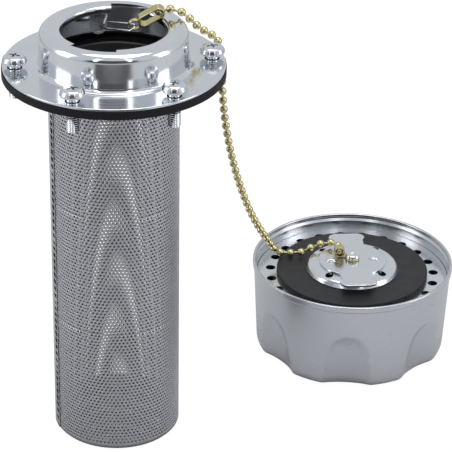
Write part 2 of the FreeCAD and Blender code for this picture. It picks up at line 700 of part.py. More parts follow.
link_turned = Rotation(link_along, link_up.cross(link_along), link_up, "XYZ")
link_start = EAR_REST - link_along * value("size.wire_bend_radius*0.2")

# Wire link: one closed loop of wire. It passes through the ear's hole and round
# the ear's edge, and its far end holds the chain's coupling.
link_parts = []
for name, run, turn in (("ear_bend", 0, 90), ("far_bend", wire_run, -90)):
    bend = doc.addObject("Part::Torus", name)
    bend.setExpression("Radius1", "size.wire_bend_radius")
    bend.setExpression("Radius2", "size.wire_radius")
    bend.Angle3 = 180
    bend.Placement = Placement(Vector(run, 0, 0), Rotation(Vector(0, 0, 1), turn))
    link_parts.append(bend)
for name, side in (("outer_wire", ""), ("inner_wire", "-")):
    wire = doc.addObject("Part::Cylinder", name)
    wire.setExpression("Radius", "size.wire_radius")
    wire.Height = wire_run
    wire.Placement = Placement(Vector(), Rotation(Vector(0, 1, 0), 90))
    wire.setExpression("Placement.Base.y", side + "size.wire_bend_radius")
    link_parts.append(wire)
link = doc.addObject("Part::MultiFuse", "wire_link")
link.Shapes = link_parts
link.Placement = Placement(link_start, link_turned)
doc.recompute()


def draw_slot(sketch, start, end, radius):
    """A slot along the sketch's first axis, from one round end's middle to the other's."""
    first, last, size = value(start), value(end), value(radius)
    up = Vector(0, 0, 1)
    k = sketch.GeometryCount
    half = math.pi / 2
    sketch.addGeometry(Part.ArcOfCircle(Part.Circle(Vector(first, 0, 0), up, size), half, 3 * half), False)
    sketch.addGeometry(Part.LineSegment(Vector(first, -size, 0), Vector(last, -size, 0)), False)
    sketch.addGeometry(Part.ArcOfCircle(Part.Circle(Vector(last, 0, 0), up, size), -half, half), False)
    sketch.addGeometry(Part.LineSegment(Vector(last, size, 0), Vector(first, size, 0)), False)
    for i in range(4):
        sketch.addConstraint(Sketcher.Constraint("Tangent", k + i, 2, k + (i + 1) % 4, 1))
    for geometry, middle in ((k, start), (k + 2, end)):
        pin_down(sketch, geometry, 3, middle, "0*size.strip_thick")
    rule = Sketcher.Constraint("Radius", k, size)
    sketch.setExpression("Constraints[%d]" % sketch.addConstraint(rule), radius)


# Chain coupling: brass strip bent into a figure of eight. Its small eye holds the
# wire link and its long loop holds the chain's first bead.
coupling = new_body("chain_coupling")
LOOP_START = "(2*size.eye_radius-size.strip_thick)"
LOOP_END = "(%s+size.loop_run)" % LOOP_START
for name, start, end, width in (("eye", "0*size.strip_thick", "size.eye_radius*0.1", "size.eye_width"),
                                ("loop", LOOP_START, LOOP_END, "size.strip_width")):
    sketch = new_sketch(coupling, name + "_outline", "XY_Plane", lift="-%s/2" % width)
    draw_slot(sketch, start, end, "size.eye_radius")
    draw_slot(sketch, start, end, "size.eye_radius-size.strip_thick")
    pad = coupling.newObject("PartDesign::Pad", name)
    pad.Profile = sketch
    pad.setExpression("Length", width)
    sketch.Visibility = False
    doc.recompute()
sketch = new_sketch(coupling, "pin_hole_outline", "YZ_Plane", lift=LOOP_END + "+size.eye_radius*1.5")
draw_circle(sketch, "0*size.strip_thick", "0*size.strip_thick", "size.pin_radius*2.2")
hole = coupling.newObject("PartDesign::Pocket", "pin_hole")
hole.Profile = sketch
hole.setExpression("Length", "size.eye_radius*1.3")
sketch.Visibility = False
doc.recompute()
coupling_turned = Rotation(coupling_along, coupling_side, coupling_across, "XYZ")
coupling.Placement = Placement(COUPLING_EYE, coupling_turned)
doc.recompute()

# Chain end: eyelet on the cap's centre rivet, with a short socket for the last bead
end_ring = new_body("end_ring")
in_cap(end_ring)
turned(end_ring, "ring", [
    ("size.rivet_radius+size.swivel_play", SWIVEL_SEAT),
    ("size.rivet_head_radius*1.3", SWIVEL_SEAT),
    ("size.rivet_head_radius*1.3", SWIVEL_SEAT + "+size.strip_thick"),
    ("size.rivet_radius+size.swivel_play", SWIVEL_SEAT + "+size.strip_thick"),
])
SOCKET_X = "(-size.rivet_head_radius-size.socket_radius-size.swivel_play)"
SOCKET_Z = "(%s+size.socket_radius+size.strip_thick*0.4)" % SWIVEL_SEAT
tongue = doc.addObject("Part::Box", "tongue")
tongue.setExpression("Length", "size.socket_radius*0.4-%s-size.rivet_radius-size.swivel_play-size.strip_thick/2" % SOCKET_X)
tongue.setExpression("Width", "size.socket_length*0.8")
tongue.setExpression("Height", "size.strip_thick")
tongue.setExpression("Placement.Base.x", "size.cap_x+%s-size.socket_radius*0.4" % SOCKET_X)
tongue.setExpression("Placement.Base.y", "size.cap_y+size.socket_start+size.socket_length*0.1")
tongue.setExpression("Placement.Base.z", FLOOR + "+" + SWIVEL_SEAT)
socket_parts = []
for name, radius, grown in (("socket_outside", "size.socket_radius", 0), ("socket_inside", "size.socket_radius-0.75*size.strip_thick", 1)):
    tube = doc.addObject("Part::Cylinder", name)
    tube.setExpression("Radius", radius)
    tube.setExpression("Height", "size.socket_length*%d" % (1 + 2 * grown))
    tube.Placement = Placement(Vector(), Rotation(Vector(1, 0, 0), -90))
    tube.setExpression("Placement.Base.x", "size.cap_x+" + SOCKET_X)
    tube.setExpression("Placement.Base.y", "size.cap_y+size.socket_start-size.socket_length*%d" % grown)
    tube.setExpression("Placement.Base.z", FLOOR + "+" + SOCKET_Z)
    socket_parts.append(tube)
end_joined = doc.addObject("Part::MultiFuse", "end_joined")
end_joined.Shapes = [end_ring, tongue, socket_parts[0]]
end_coupling = doc.addObject("Part::Cut", "cap_end_coupling")
end_coupling.Base = end_joined
end_coupling.Tool = socket_parts[1]
doc.recompute()

# Bead chain: hollow beads on short pins, in the lie that it has beside the neck.
# The route runs from the coupling over the neck's shoulder and the plate's edge,
# hangs free to the cap, folds on the rubber ring and climbs to the centre rivet.
LOOP_MIDDLE = COUPLING_EYE + coupling_along * value(LOOP_END + "+size.eye_radius-size.strip_thick-size.bead_radius-0.1")
NECK_EDGE = Vector(value("size.neck_radius*cos(23)"), value("size.neck_radius*sin(23)"), value(NECK_TOP))
PLATE_EDGE = Vector(value("size.gasket_radius*cos(26.7)"), value("size.gasket_radius*sin(26.7)"), value(PLATE_TOP))
CAP_TOP = Vector(value("size.cap_x"), value("size.cap_y"), value(FLOOR + "+size.cap_height"))
SEAL = Vector(CAP_TOP.x, CAP_TOP.y, value("%s+%s" % (FLOOR, SEAL_TOP)))
ROUTE = [
    LOOP_MIDDLE,
    LOOP_MIDDLE + Vector(4.8, 0.2, 1.6),
    NECK_EDGE + Vector(0.3, -0.3, 1.4),
    NECK_EDGE + Vector(5.7, 3.0, -6.1),
    PLATE_EDGE + Vector(0.9, 0.5, 2.4),
    PLATE_EDGE + Vector(2.6, 2.1, -5.5),
    PLATE_EDGE + Vector(2.7, 2.5, -20.0),
    PLATE_EDGE + Vector(4.3, 6.0, -37.5),
    PLATE_EDGE + Vector(8.3, 14.0, -60.5),
    CAP_TOP + Vector(-42.4, -14.6, 26.9),
    CAP_TOP + Vector(-34.3, 1.7, 5.7),
    SEAL + Vector(-31.2, 8.8, 2.0),
    SEAL + Vector(-25.5, 9.0, 1.75),
    SEAL + Vector(-20.6, 9.0, 2.0),
    CAP_TOP + Vector(-15.3, 9.6, 1.0),
    CAP_TOP + Vector(-9.9, 10.2, 2.3),
    CAP_TOP + Vector(-6.0, 8.2, 2.6),
    CAP_TOP + Vector(value(SOCKET_X), value("size.socket_start+size.socket_length*1.1"), value(SOCKET_Z + "-size.cap_height")),
    CAP_TOP + Vector(value(SOCKET_X), value("size.socket_start+size.socket_length*0.5"), value(SOCKET_Z + "-size.cap_height")),
]


def rounded_route(points):
    """Straight runs joined by tangent arcs: the arcs' radii and the centre line as edges."""
    edges = []
    radii = []
    at = points[0]
    for before, corner, after in zip(points, points[1:], points[2:]):
        back = (before - corner)
        ahead = (after - corner)
        shorter = min(back.Length, ahead.Length)
        half_turn = (math.pi - back.getAngle(ahead)) / 2
        reach = 0.45 * shorter
        radii.append(reach / math.tan(half_turn))
        back.normalize()
        ahead.normalize()
        start = corner + back * reach
        end = corner + ahead * reach
        inward = back + ahead
        inward.normalize()
        middle = corner + inward * (radii[-1] / math.cos(half_turn) - radii[-1])
        edges.append(Part.makeLine(at, start))
        edges.append(Part.Arc(start, middle, end).toShape())
        at = end
    edges.append(Part.makeLine(at, points[-1]))
    return radii, Part.Wire(edges)


radii, centre_line = rounded_route(ROUTE)
print("chain bends, mm:", " ".join("%.1f" % r for r in radii))
steps = round(centre_line.Length / value("size.bead_step"))
stops = centre_line.discretize(Number=steps + 1)
print("chain length %.1f mm, %d beads, %.2f mm apart" % (centre_line.Length, steps + 1, centre_line.Length / steps))
beads = []
for i, stop in enumerate(stops):
    along = stops[min(i + 1, steps)] - stops[max(i - 1, 0)]
    ball = Part.makeSphere(value("size.bead_radius"))
    # the ball's poles and seam lie away from the pins
    ball.Placement = Placement(stop, Rotation(along.cross(Vector(1, -1, 0.3)), along, Vector(), "YXZ"))
    beads.append(ball)
    if i:
        step = stop - stops[i - 1]
        beads.append(Part.makeCylinder(value("size.pin_radius"), step.Length, stops[i - 1], step))
chain = doc.addObject("Part::Feature", "bead_chain")
chain.Shape = beads[0].multiFuse(beads[1:])
doc.recompute()

# Export
JOINED = ["cap_shell", "wire_link", "cap_end_coupling", "bead_chain"]
HELPERS = ["cap_outside", "cap_inside", "cap_hem", "end_ring"]
NODES = [o for o in doc.Objects if o.isDerivedFrom("PartDesign::Body") and o.Name not in HELPERS]
NODES += [doc.getObject(name) for name in JOINED]
for o in doc.Objects:
    if "Invalid" in o.State or "Error" in o.State:
        raise RuntimeError("%s is %s" % (o.Label, o.State))
os.makedirs("parts", exist_ok=True)
for node in NODES:
    if node.Shape.isNull() or not node.Shape.isValid():
        raise RuntimeError(node.Label + " has no valid shape")
    node.Shape.exportStep("parts/%s.step" % node.Label)
    print("%-18s %9.1f mm3, %d solids" % (node.Label, node.Shape.Volume, len(node.Shape.Solids)))
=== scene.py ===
import math
import bmesh
import bpy
import numpy as np
from mathutils import Matrix, Vector


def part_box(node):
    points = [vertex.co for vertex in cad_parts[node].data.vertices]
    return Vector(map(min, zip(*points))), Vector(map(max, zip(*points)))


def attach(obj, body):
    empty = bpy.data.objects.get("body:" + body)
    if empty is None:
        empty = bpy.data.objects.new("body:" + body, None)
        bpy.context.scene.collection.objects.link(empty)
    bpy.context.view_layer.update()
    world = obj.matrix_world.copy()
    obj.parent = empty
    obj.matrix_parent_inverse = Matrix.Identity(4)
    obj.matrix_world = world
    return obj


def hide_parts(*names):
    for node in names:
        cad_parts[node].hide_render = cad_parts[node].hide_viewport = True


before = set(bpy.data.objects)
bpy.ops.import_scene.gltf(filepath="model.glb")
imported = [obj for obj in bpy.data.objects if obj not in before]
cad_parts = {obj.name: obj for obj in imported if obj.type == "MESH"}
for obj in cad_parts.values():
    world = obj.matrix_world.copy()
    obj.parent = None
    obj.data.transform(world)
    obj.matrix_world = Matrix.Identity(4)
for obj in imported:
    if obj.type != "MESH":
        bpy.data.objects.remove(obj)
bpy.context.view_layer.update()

# Camera: a long lens from the front, looking down at the strainer and at the
# cap beside it.
photo_camera = bpy.data.cameras.new("photo_camera")
photo_camera.lens = 182.53
photo_camera.sensor_width = 36.0
photo_camera.clip_start = 0.05
photo_camera.clip_end = 20.0
viewpoint = bpy.data.objects.new("photo_camera", photo_camera)
bpy.context.scene.collection.objects.link(viewpoint)
viewpoint.matrix_world = Matrix((
    (0.999882, -0.015346, 0.0, 0.042110),
    (0.007175, 0.467463, -0.883984, -0.773067),
    (0.013566, 0.883880, 0.467518, 0.345530),
    (0.0, 0.0, 0.0, 1.0)))
bpy.context.scene.camera = viewpoint
bpy.context.scene.view_settings.view_transform = "Standard"


# Floor and light: a white sweep under soft boxes. The camera sees the floor
# white, and what stands on it leaves a faint shadow.
def new_surface(name, points, faces, smooth=32.0):
    """A mesh object from arrays of points and faces, smooth up to an angle in degrees."""
    mesh = bpy.data.meshes.new(name)
    mesh.from_pydata(np.asarray(points).tolist(), [], [tuple(int(i) for i in f) for f in faces])
    mesh.polygons.foreach_set("use_smooth", np.ones(len(mesh.polygons), bool))
    mesh.set_sharp_from_angle(angle=math.radians(smooth))
    mesh.update()
    piece = bpy.data.objects.new(name, mesh)
    bpy.context.scene.collection.objects.link(piece)
    return piece


floor_level = -0.150
floor_drop = 0.0002
floor_reach = 2.5
floor = new_surface("studio_floor", [(x * floor_reach, y * floor_reach, floor_level - floor_drop)
                                     for x, y in ((-1, -1), (1, -1), (1, 1), (-1, 1))], [(0, 1, 2, 3)])


def new_node(tree, kind, values=(), **settings):
    """A node in a tree, with its settings and the values of inputs given by name or number."""
    node = tree.nodes.new(kind)
    for key, setting in settings.items():
        setattr(node, key, setting)
    for key, value in dict(values).items():
        node.inputs[key].default_value = value
    return node


def join(tree, *wires):
    """Links in a tree, each given as (node, its output, next node, its input)."""
    for source, output, target, entry in wires:
        tree.links.new(source.outputs[output], target.inputs[entry])


def new_material(name):
    """An empty node material with its output and one Principled shader."""
    material = bpy.data.materials.new(name)
    material.use_nodes = True
    tree = material.node_tree
    tree.nodes.clear()
    out = new_node(tree, "ShaderNodeOutputMaterial")
    shader = new_node(tree, "ShaderNodeBsdfPrincipled")
    join(tree, (shader, "BSDF", out, "Surface"))
    return material, tree, shader


# the camera sees an even glow, and all other rays see pale paper
paper, tree, shader = new_material("white_paper")
paper_grey = (0.60, 0.60, 0.61, 1)
shader.inputs["Roughness"].default_value = 0.9
shader.inputs["Specular IOR Level"].default_value = 0.1
glow = new_node(tree, "ShaderNodeEmission", {"Strength": 1.12})
rays = new_node(tree, "ShaderNodeLightPath")
glow_share = new_node(tree, "ShaderNodeMath", {1: 0.86}, operation="MULTIPLY")
mix = new_node(tree, "ShaderNodeMixShader")
join(tree, (rays, "Is Camera Ray", glow_share, 0), (glow_share, "Value", mix, "Fac"),
     (shader, "BSDF", mix, 1), (glow, "Emission", mix, 2),
     (mix, "Shader", tree.nodes["Material Output"], "Surface"))
floor.data.materials.append(paper)
# in mirror reflections alone, a part of the floor far in front is as dark as the room there
ground = new_node(tree, "ShaderNodeNewGeometry")
parts = new_node(tree, "ShaderNodeSeparateXYZ")
join(tree, (ground, "Position", parts, "Vector"))
dark = rays.outputs["Is Glossy Ray"]
for axis, low, high, soft in (("Y", -0.520, -0.285, 0.012), ("X", -0.21, 0.23, 0.02)):
    for edge, inner in ((low, low + soft), (high, high - soft)):
        step = new_node(tree, "ShaderNodeMapRange", {"From Min": edge, "From Max": inner})
        both = new_node(tree, "ShaderNodeMath", operation="MULTIPLY")
        join(tree, (parts, axis, step, "Value"), (step, "Result", both, 0))
        tree.links.new(dark, both.inputs[1])
        dark = both.outputs["Value"]
tone = new_node(tree, "ShaderNodeMix", {"A": paper_grey, "B": (0.06, 0.052, 0.052, 1)}, data_type="RGBA")
tree.links.new(dark, tone.inputs["Factor"])
join(tree, (tone, "Result", shader, "Base Color"))

# the room is pale all round, and dark up to eye level where the photographer stands
world = bpy.data.worlds.new("studio_air")
bpy.context.scene.world = world
world.use_nodes = True
air = world.node_tree
air.nodes.clear()
air_out = new_node(air, "ShaderNodeOutputWorld")
room = new_node(air, "ShaderNodeBackground")
white = new_node(air, "ShaderNodeBackground", {"Color": (1, 1, 1, 1)})
rays = new_node(air, "ShaderNodeLightPath")
mix = new_node(air, "ShaderNodeMixShader")
heading = new_node(air, "ShaderNodeTexCoord")
split = new_node(air, "ShaderNodeSeparateXYZ")
front = new_node(air, "ShaderNodeMapRange", {"From Min": -0.70, "From Max": -0.84},
                 interpolation_type="SMOOTHSTEP")
low_part = new_node(air, "ShaderNodeMapRange", {"From Min": 0.53, "From Max": 0.47})
both = new_node(air, "ShaderNodeMath", operation="MULTIPLY")
shade = new_node(air, "ShaderNodeMix", {"A": (0.66, 0.68, 0.71, 1), "B": (0.085, 0.078, 0.080, 1)},
                 data_type="RGBA")
join(air, (rays, "Is Camera Ray", mix, "Fac"), (room, "Background", mix, 1), (white, "Background", mix, 2),
     (mix, "Shader", air_out, "Surface"), (heading, "Generated", split, "Vector"),
     (split, "Y", front, "Value"), (split, "Z", low_part, "Value"), (front, "Result", both, 0),
     (low_part, "Result", both, 1), (both, "Value", shade, "Factor"), (shade, "Result", room, "Color"))

# each lamp's name, place, width and height, and power
lamp_target = Vector((0.04, 0.02, -0.05))
soft_boxes = (
    ("top_box", (0.10, 0.10, 1.05), (0.9, 0.6), 4.6),
    ("left_box", (-0.95, -0.20, 0.35), (0.45, 0.9), 2.6),
    ("right_box", (1.00, -0.15, 0.30), (0.35, 0.8), 2.0),
    ("left_strip", (-0.46, -1.00, 0.70), (0.12, 0.9), 0.9),
    ("right_strip", (0.52, -1.00, 0.70), (0.12, 0.9), 0.9),
)
for name, place, spread, power in soft_boxes:
    lamp = bpy.data.lights.new(name, "AREA")
    lamp.shape = "RECTANGLE"
    lamp.size, lamp.size_y = spread
    lamp.energy = power
    box = bpy.data.objects.new(name, lamp)
    bpy.context.scene.collection.objects.link(box)
    box.rotation_mode = "QUATERNION"
    box.rotation_quaternion = (Vector(place) - lamp_target).to_track_quat("Z", "Y")
    box.location = place


# Strainer collar and gaskets: a flat steel ring clamped between two black rubber
# rings, which lie between the neck's plate and the tank.
def new_group(name, inputs, outputs):
    """A node group with named inputs (type, name, value) and outputs (type, name)."""
    group = bpy.data.node_groups.new(name, "ShaderNodeTree")
    for kind, label, start in inputs:
        socket = group.interface.new_socket(label, in_out="INPUT", socket_type=kind)
        socket.default_value = start
    for kind, label in outputs:
        group.interface.new_socket(label, in_out="OUTPUT", socket_type=kind)
    return group, group.nodes.new("NodeGroupInput"), group.nodes.new("NodeGroupOutput")


surface_wear, wear_in, wear_out = new_group("surface_wear", [
    ("NodeSocketColor", "Colour", (0.5, 0.5, 0.5, 1)),
    ("NodeSocketFloat", "Patch Size", 0.01),
    ("NodeSocketFloat", "Grain Size", 0.0005),
    ("NodeSocketFloat", "Colour Change", 0.1),
    ("NodeSocketFloat", "Least Roughness", 0.2),
    ("NodeSocketFloat", "Most Roughness", 0.3),
], [("NodeSocketColor", "Colour"), ("NodeSocketFloat", "Roughness"), ("NodeSocketFloat", "Height")])
place = new_node(surface_wear, "ShaderNodeTexCoord")
noises = []
for label in ("Patch Size", "Grain Size"):
    scale = new_node(surface_wear, "ShaderNodeMath", {0: 1.0}, operation="DIVIDE")
    noise = new_node(surface_wear, "ShaderNodeTexNoise", {"Detail": 3.0})
    join(surface_wear, (wear_in, label, scale, 1), (scale, "Value", noise, "Scale"),
         (place, "Object", noise, "Vector"))
    noises.append(noise)
patch, grain = noises
# the patches change the colour's value and the roughness, and the grain is the fine relief
centre = new_node(surface_wear, "ShaderNodeMath", {1: 0.5}, operation="SUBTRACT")
double = new_node(surface_wear, "ShaderNodeMath", {1: 2.0}, operation="MULTIPLY")
change = new_node(surface_wear, "ShaderNodeMath", {2: 1.0}, operation="MULTIPLY_ADD")
tint = new_node(surface_wear, "ShaderNodeHueSaturation")
rough = new_node(surface_wear, "ShaderNodeMapRange", {"From Min": 0.35, "From Max": 0.65})
join(surface_wear, (patch, "Fac", centre, 0), (centre, "Value", double, 0), (double, "Value", change, 0),
     (wear_in, "Colour Change", change, 1), (change, "Value", tint, "Value"),
     (wear_in, "Colour", tint, "Color"), (tint, "Color", wear_out, "Colour"), (patch, "Fac", rough, "Value"),
     (wear_in, "Least Roughness", rough, "To Min"), (wear_in, "Most Roughness", rough, "To Max"),
     (rough, "Result", wear_out, "Roughness"), (grain, "Fac", wear_out, "Height"))


def worn_material(name, colour, metallic, roughness, patch=0.01, grain=0.0004, change=0.1, relief=0.00001,
                  rings=None, gloss=0.5):
    """A Principled material whose colour, roughness and fine relief come from the wear group.

    roughness is its least and its most value. rings is (centre x, centre y, pitch, depth) of
    the fine rings that drawing or turning leaves.
    """
    material, tree, shader = new_material(name)
    shader.inputs["Specular IOR Level"].default_value = gloss
    shader.inputs["Metallic"].default_value = metallic
    wear = new_node(tree, "ShaderNodeGroup", {
        "Colour": (*colour, 1), "Patch Size": patch, "Grain Size": grain, "Colour Change": change,
        "Least Roughness": roughness[0], "Most Roughness": roughness[1]}, node_tree=surface_wear)
    bump = new_node(tree, "ShaderNodeBump", {"Distance": relief})
    join(tree, (wear, "Height", bump, "Height"), (bump, "Normal", shader, "Normal"),
         (wear, "Colour", shader, "Base Color"), (wear, "Roughness", shader, "Roughness"))
    if rings:
        x, y, pitch, depth = rings
        where = new_node(tree, "ShaderNodeTexCoord")
        shift = new_node(tree, "ShaderNodeVectorMath", {1: (x, y, 0)}, operation="SUBTRACT")
        flat = new_node(tree, "ShaderNodeVectorMath", {1: (1, 1, 0)}, operation="MULTIPLY")
        reach = new_node(tree, "ShaderNodeVectorMath", operation="LENGTH")
        waves = new_node(tree, "ShaderNodeTexNoise", {"Scale": 1 / pitch, "Detail": 2.0},
                         noise_dimensions="1D")
        groove = new_node(tree, "ShaderNodeBump", {"Distance": depth})
        join(tree, (where, "Object", shift, 0), (shift, "Vector", flat, 0), (flat, "Vector", reach, 0),
             (reach, "Value", waves, "W"), (waves, "Fac", groove, "Height"),
             (groove, "Normal", bump, "Normal"))
    return material


def finish_nodes(material, *nodes):
    """Gives CAD nodes a material in every slot."""
    for node in nodes:
        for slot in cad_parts[node].material_slots:
            slot.link = "OBJECT"
            slot.material = material


black_rubber = worn_material("black_rubber", (0.010, 0.010, 0.011), 0.0, (0.55, 0.7), patch=0.006,
                             grain=0.0006, change=0.3, gloss=0.2)
# the collar is given a near-black colour: painted shade for the dark under the neck's plate
collar_painted_shade = worn_material("collar_painted_shade_steel", (0.10, 0.10, 0.105), 1.0, (0.35, 0.45), patch=0.004,
                           grain=0.0005, change=0.12)
# the upper gasket's black is partly its own rubber colour and partly painted shade for the dark inside the
# neck's foot
finish_nodes(black_rubber, "upper_gasket", "tank_gasket")
finish_nodes(collar_painted_shade, "strainer_collar")

# Strainer: steel sheet with some eleven thousand punched holes in staggered rows,
# rolled to a tube whose ends lap, and a foot of the same sheet pressed into it.
hole_step = 0.00152
hole_width = 0.00100
sheet = 0.00045
wall_radius = 0.0243
wall_foot = floor_level + 0.0012
wall_top = 0.0009


def punched_grid(columns, rows, step, height, hole, offset=0):
    """A flat sheet of cells, each a rectangle round a six-cornered hole.

    Corner grid: x counts half steps and y counts rows. Hole corners lie on a circle of the
    hole's radius at 30 degrees and every 60 degrees after it, round the cell's middle. Odd
    rows are shifted by half a step. Each cell is the six quads from its rim to its hole.
    Gives points (x, y) and faces; the last column of corners joins the first.
    """
    halves = 2 * columns
    grid = np.stack(np.meshgrid(np.arange(halves) * step / 2, np.arange(rows + 1) * height), -1)
    row, column = np.meshgrid(np.arange(rows), np.arange(columns), indexing="ij")
    shift = (row + offset) % 2
    middle = np.stack([(column * 2 + 1 + shift) * step / 2, (row + 0.5) * height], -1)
    turn = np.radians([210, 270, 330, 30, 90, 150])
    ring = np.stack([np.cos(turn), np.sin(turn)], -1) * hole / 2
    holes = middle[:, :, None, :] + ring
    first = (column * 2 + shift) % halves
    rim = np.stack([
        row * halves + first, row * halves + (first + 1) % halves, row * halves + (first + 2) % halves,
        (row + 1) * halves + (first + 2) % halves, (row + 1) * halves + (first + 1) % halves,
        (row + 1) * halves + first], -1)
    inner = grid.size // 2 + (row * columns + column)[:, :, None] * 6 + np.arange(6)
    quads = np.stack([rim, np.roll(rim, -1, -1), np.roll(inner, -1, -1), inner], -1).reshape(-1, 4)
    return np.concatenate([grid.reshape(-1, 2), holes.reshape(-1, 2)]), quads


def thickened(piece, depth):
    """Gives a single sheet its thickness, towards the side its faces turn away from."""
    solid = piece.modifiers.new("sheet", "SOLIDIFY")
    solid.thickness = depth
    solid.offset = -1
    return piece


punched_steel = worn_material("punched_steel", (0.47, 0.475, 0.49), 1.0, (0.28, 0.36), patch=0.003,
                              change=0.08, relief=0.000004)
# the inside of the tube is painted darker than the outside: painted shade
tree = punched_steel.node_tree
shader = tree.nodes["Principled BSDF"]
where = new_node(tree, "ShaderNodeTexCoord")
flat = new_node(tree, "ShaderNodeVectorMath", {1: (1, 1, 0)}, operation="MULTIPLY")
reach = new_node(tree, "ShaderNodeVectorMath", operation="LENGTH")
inside = new_node(tree, "ShaderNodeMapRange", {"From Min": wall_radius - sheet * 0.25,
                                               "From Max": wall_radius - sheet * 0.7})
inside_shade = new_node(tree, "ShaderNodeMix", {"B": (0.26, 0.265, 0.275, 1)}, data_type="RGBA")
tree.links.new(shader.inputs["Base Color"].links[0].from_socket, inside_shade.inputs["A"])
join(tree, (where, "Object", flat, 0), (flat, "Vector", reach, 0), (reach, "Value", inside, "Value"),
     (inside, "Result", inside_shade, "Factor"), (inside_shade, "Result", shader, "Base Color"))

# the tube is made in three bands, with a plain edge at its foot and at its top
columns = int(round(2 * math.pi * wall_radius / hole_step))
row_height = 0.00140
rows = int((wall_top - wall_foot) / row_height) - 1
plain_edge = (wall_top - wall_foot - rows * row_height) / 2
bands = 3
edges = np.linspace(0, rows, bands + 1).astype(int)
around = 2 * math.pi / columns
halves = 2 * columns
k = np.arange(halves)
after = (k + 1) % halves
for band, (low, high) in enumerate(zip(edges, edges[1:])):
    flat, quads = punched_grid(columns, high - low, hole_step, row_height, hole_width, low)
    angle = flat[:, 0] / hole_step * around
    level = wall_foot + plain_edge + low * row_height + flat[:, 1]
    tube = np.stack([wall_radius * np.cos(angle), wall_radius * np.sin(angle), level], -1)
    added = len(tube)
    if band == 0:
        tube = np.concatenate([tube, tube[:halves] * (1, 1, 0) + (0, 0, wall_foot)])
        quads = np.concatenate([quads, np.stack([added + k, added + after, after, k], -1)])
    if band == bands - 1:
        top = (high - low) * halves
        tube = np.concatenate([tube, tube[top:top + halves] * (1, 1, 0) + (0, 0, wall_top)])
        quads = np.concatenate([quads, np.stack([top + k, top + after, added + after, added + k], -1)])
    wall_piece = new_surface("strainer_mesh_%d" % (band + 1), tube, quads, 180)
    thickened(wall_piece, sheet)
    wall_piece.data.materials.append(punched_steel)
    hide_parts("strainer_wall")
    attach(wall_piece, "filler")


# Strainer seam: the tube's free end laps over the other. Down its edge the two sets of holes miss each other;
# the row of dark dashes there is openings in the lap over a thin black sheet, painted shade for the gap
# between the layers.
lap_turn = np.radians(np.concatenate([np.linspace(-181.0, -162.2, 14), [-155.8, -155.0]]))
lap_top = wall_top - 0.002
dash_pitch = 0.0029
dash_edge = 0.0001
dashes = int((lap_top - wall_foot) / dash_pitch)
lap_rows = [wall_foot]
for dash in range(dashes):
    start = wall_foot + dash * dash_pitch + dash_edge
    opening = 0.0006 + 0.0018 * abs(math.sin(math.pi * 5.3 * dash / dashes)) ** 0.5
    lap_rows += [start, start + opening]
lap_rows = np.array(lap_rows + [lap_top])
# the second piece is the thin black sheet under the lap's openings, painted shade; it takes the black rubber
# material
for name, radius, turns, levels, open_column in (
        ("strainer_lap", wall_radius + 0.00035, lap_turn, lap_rows, len(lap_turn) - 3),
        ("strainer_lap_shade_sheet", wall_radius + 0.00008, lap_turn[-4:-1], lap_rows[[0, -1]], None)):
    points = np.array([[(radius * math.cos(a), radius * math.sin(a), z) for a in turns] for z in levels])
    wide = len(turns)
    faces = [(r * wide + c, r * wide + c + 1, (r + 1) * wide + c + 1, (r + 1) * wide + c)
             for r in range(len(levels) - 1) for c in range(wide - 1)
             if not (c == open_column and r % 2 == 1 and r < len(levels) - 2)]
    lap = new_surface(name, points.reshape(-1, 3), faces, 180)
    thickened(lap, 0.00025 if open_column else 0.00005)
    lap.data.materials.append(punched_steel if open_column else black_rubber)
    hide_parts("strainer_wall")
    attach(lap, "filler")

# Strainer foot: a disc of the same punched sheet with its edge turned up, pressed
# into the lower end of the tube.
foot_radius = wall_radius - sheet
foot_height = 0.005
rim_bend = 0.0012
clear_radius = foot_radius - rim_bend - hole_step * 0.4
count = int(clear_radius / hole_step) + 2
flat, quads = punched_grid(2 * count, 2 * count, hole_step, row_height, hole_width)
flat = flat - (count * hole_step, count * row_height)
# only whole cells of the flat middle stay, and none that runs round the grid's edge
cells = flat[quads].reshape(-1, 24, 2)
reach = np.hypot(cells[:, :, 0], cells[:, :, 1]).max(1)
span = np.ptp(cells[:, :, 0], axis=1)
stays = np.repeat((reach < clear_radius) & (span < 3 * hole_step), 6)
used, numbers = np.unique(quads[stays], return_inverse=True)
bm = bmesh.new()
corners = [bm.verts.new((x, y, 0)) for x, y in flat[used]]
for quad in numbers.reshape(-1, 4):
    bm.faces.new([corners[i] for i in quad])
# the sheet is plain between the rim and the outermost cells, whose free sides are longer than a hole's
outer_edge = [e for e in bm.edges if e.is_boundary
              and (e.verts[0].co - e.verts[1].co).length > hole_width * 0.51
              and min(e.verts[0].co.length, e.verts[1].co.length) > clear_radius - 3 * hole_step]
steps = 120
turns = np.linspace(0, 2 * math.pi, steps, endpoint=False)
bends = [(foot_radius - rim_bend * (1 - math.sin(t)), rim_bend * (1 - math.cos(t)))
         for t in np.radians([0, 22.5, 45, 67.5, 90])]
rings = [[bm.verts.new((radius * math.cos(a), radius * math.sin(a), level)) for a in turns]
         for radius, level in bends + [(foot_radius, foot_height)]]
rim_edges = [bm.edges.new((rings[0][i], rings[0][(i + 1) % steps])) for i in range(steps)]
bmesh.ops.triangle_fill(bm, edges=outer_edge + rim_edges, use_beauty=True)
for last, new in zip(rings, rings[1:]):
    for i in range(steps):
        bm.faces.new((last[i], last[(i + 1) % steps], new[(i + 1) % steps], new[i]))
bmesh.ops.recalc_face_normals(bm, faces=bm.faces)
bm.normal_update()
if sum(f.normal.z for f in bm.faces) > 0:
    bmesh.ops.reverse_faces(bm, faces=bm.faces)
for v in bm.verts:
    v.co.z += floor_level
foot_mesh = bpy.data.meshes.new("strainer_foot")
bm.to_mesh(foot_mesh)
bm.free()
foot = bpy.data.objects.new("strainer_foot", foot_mesh)
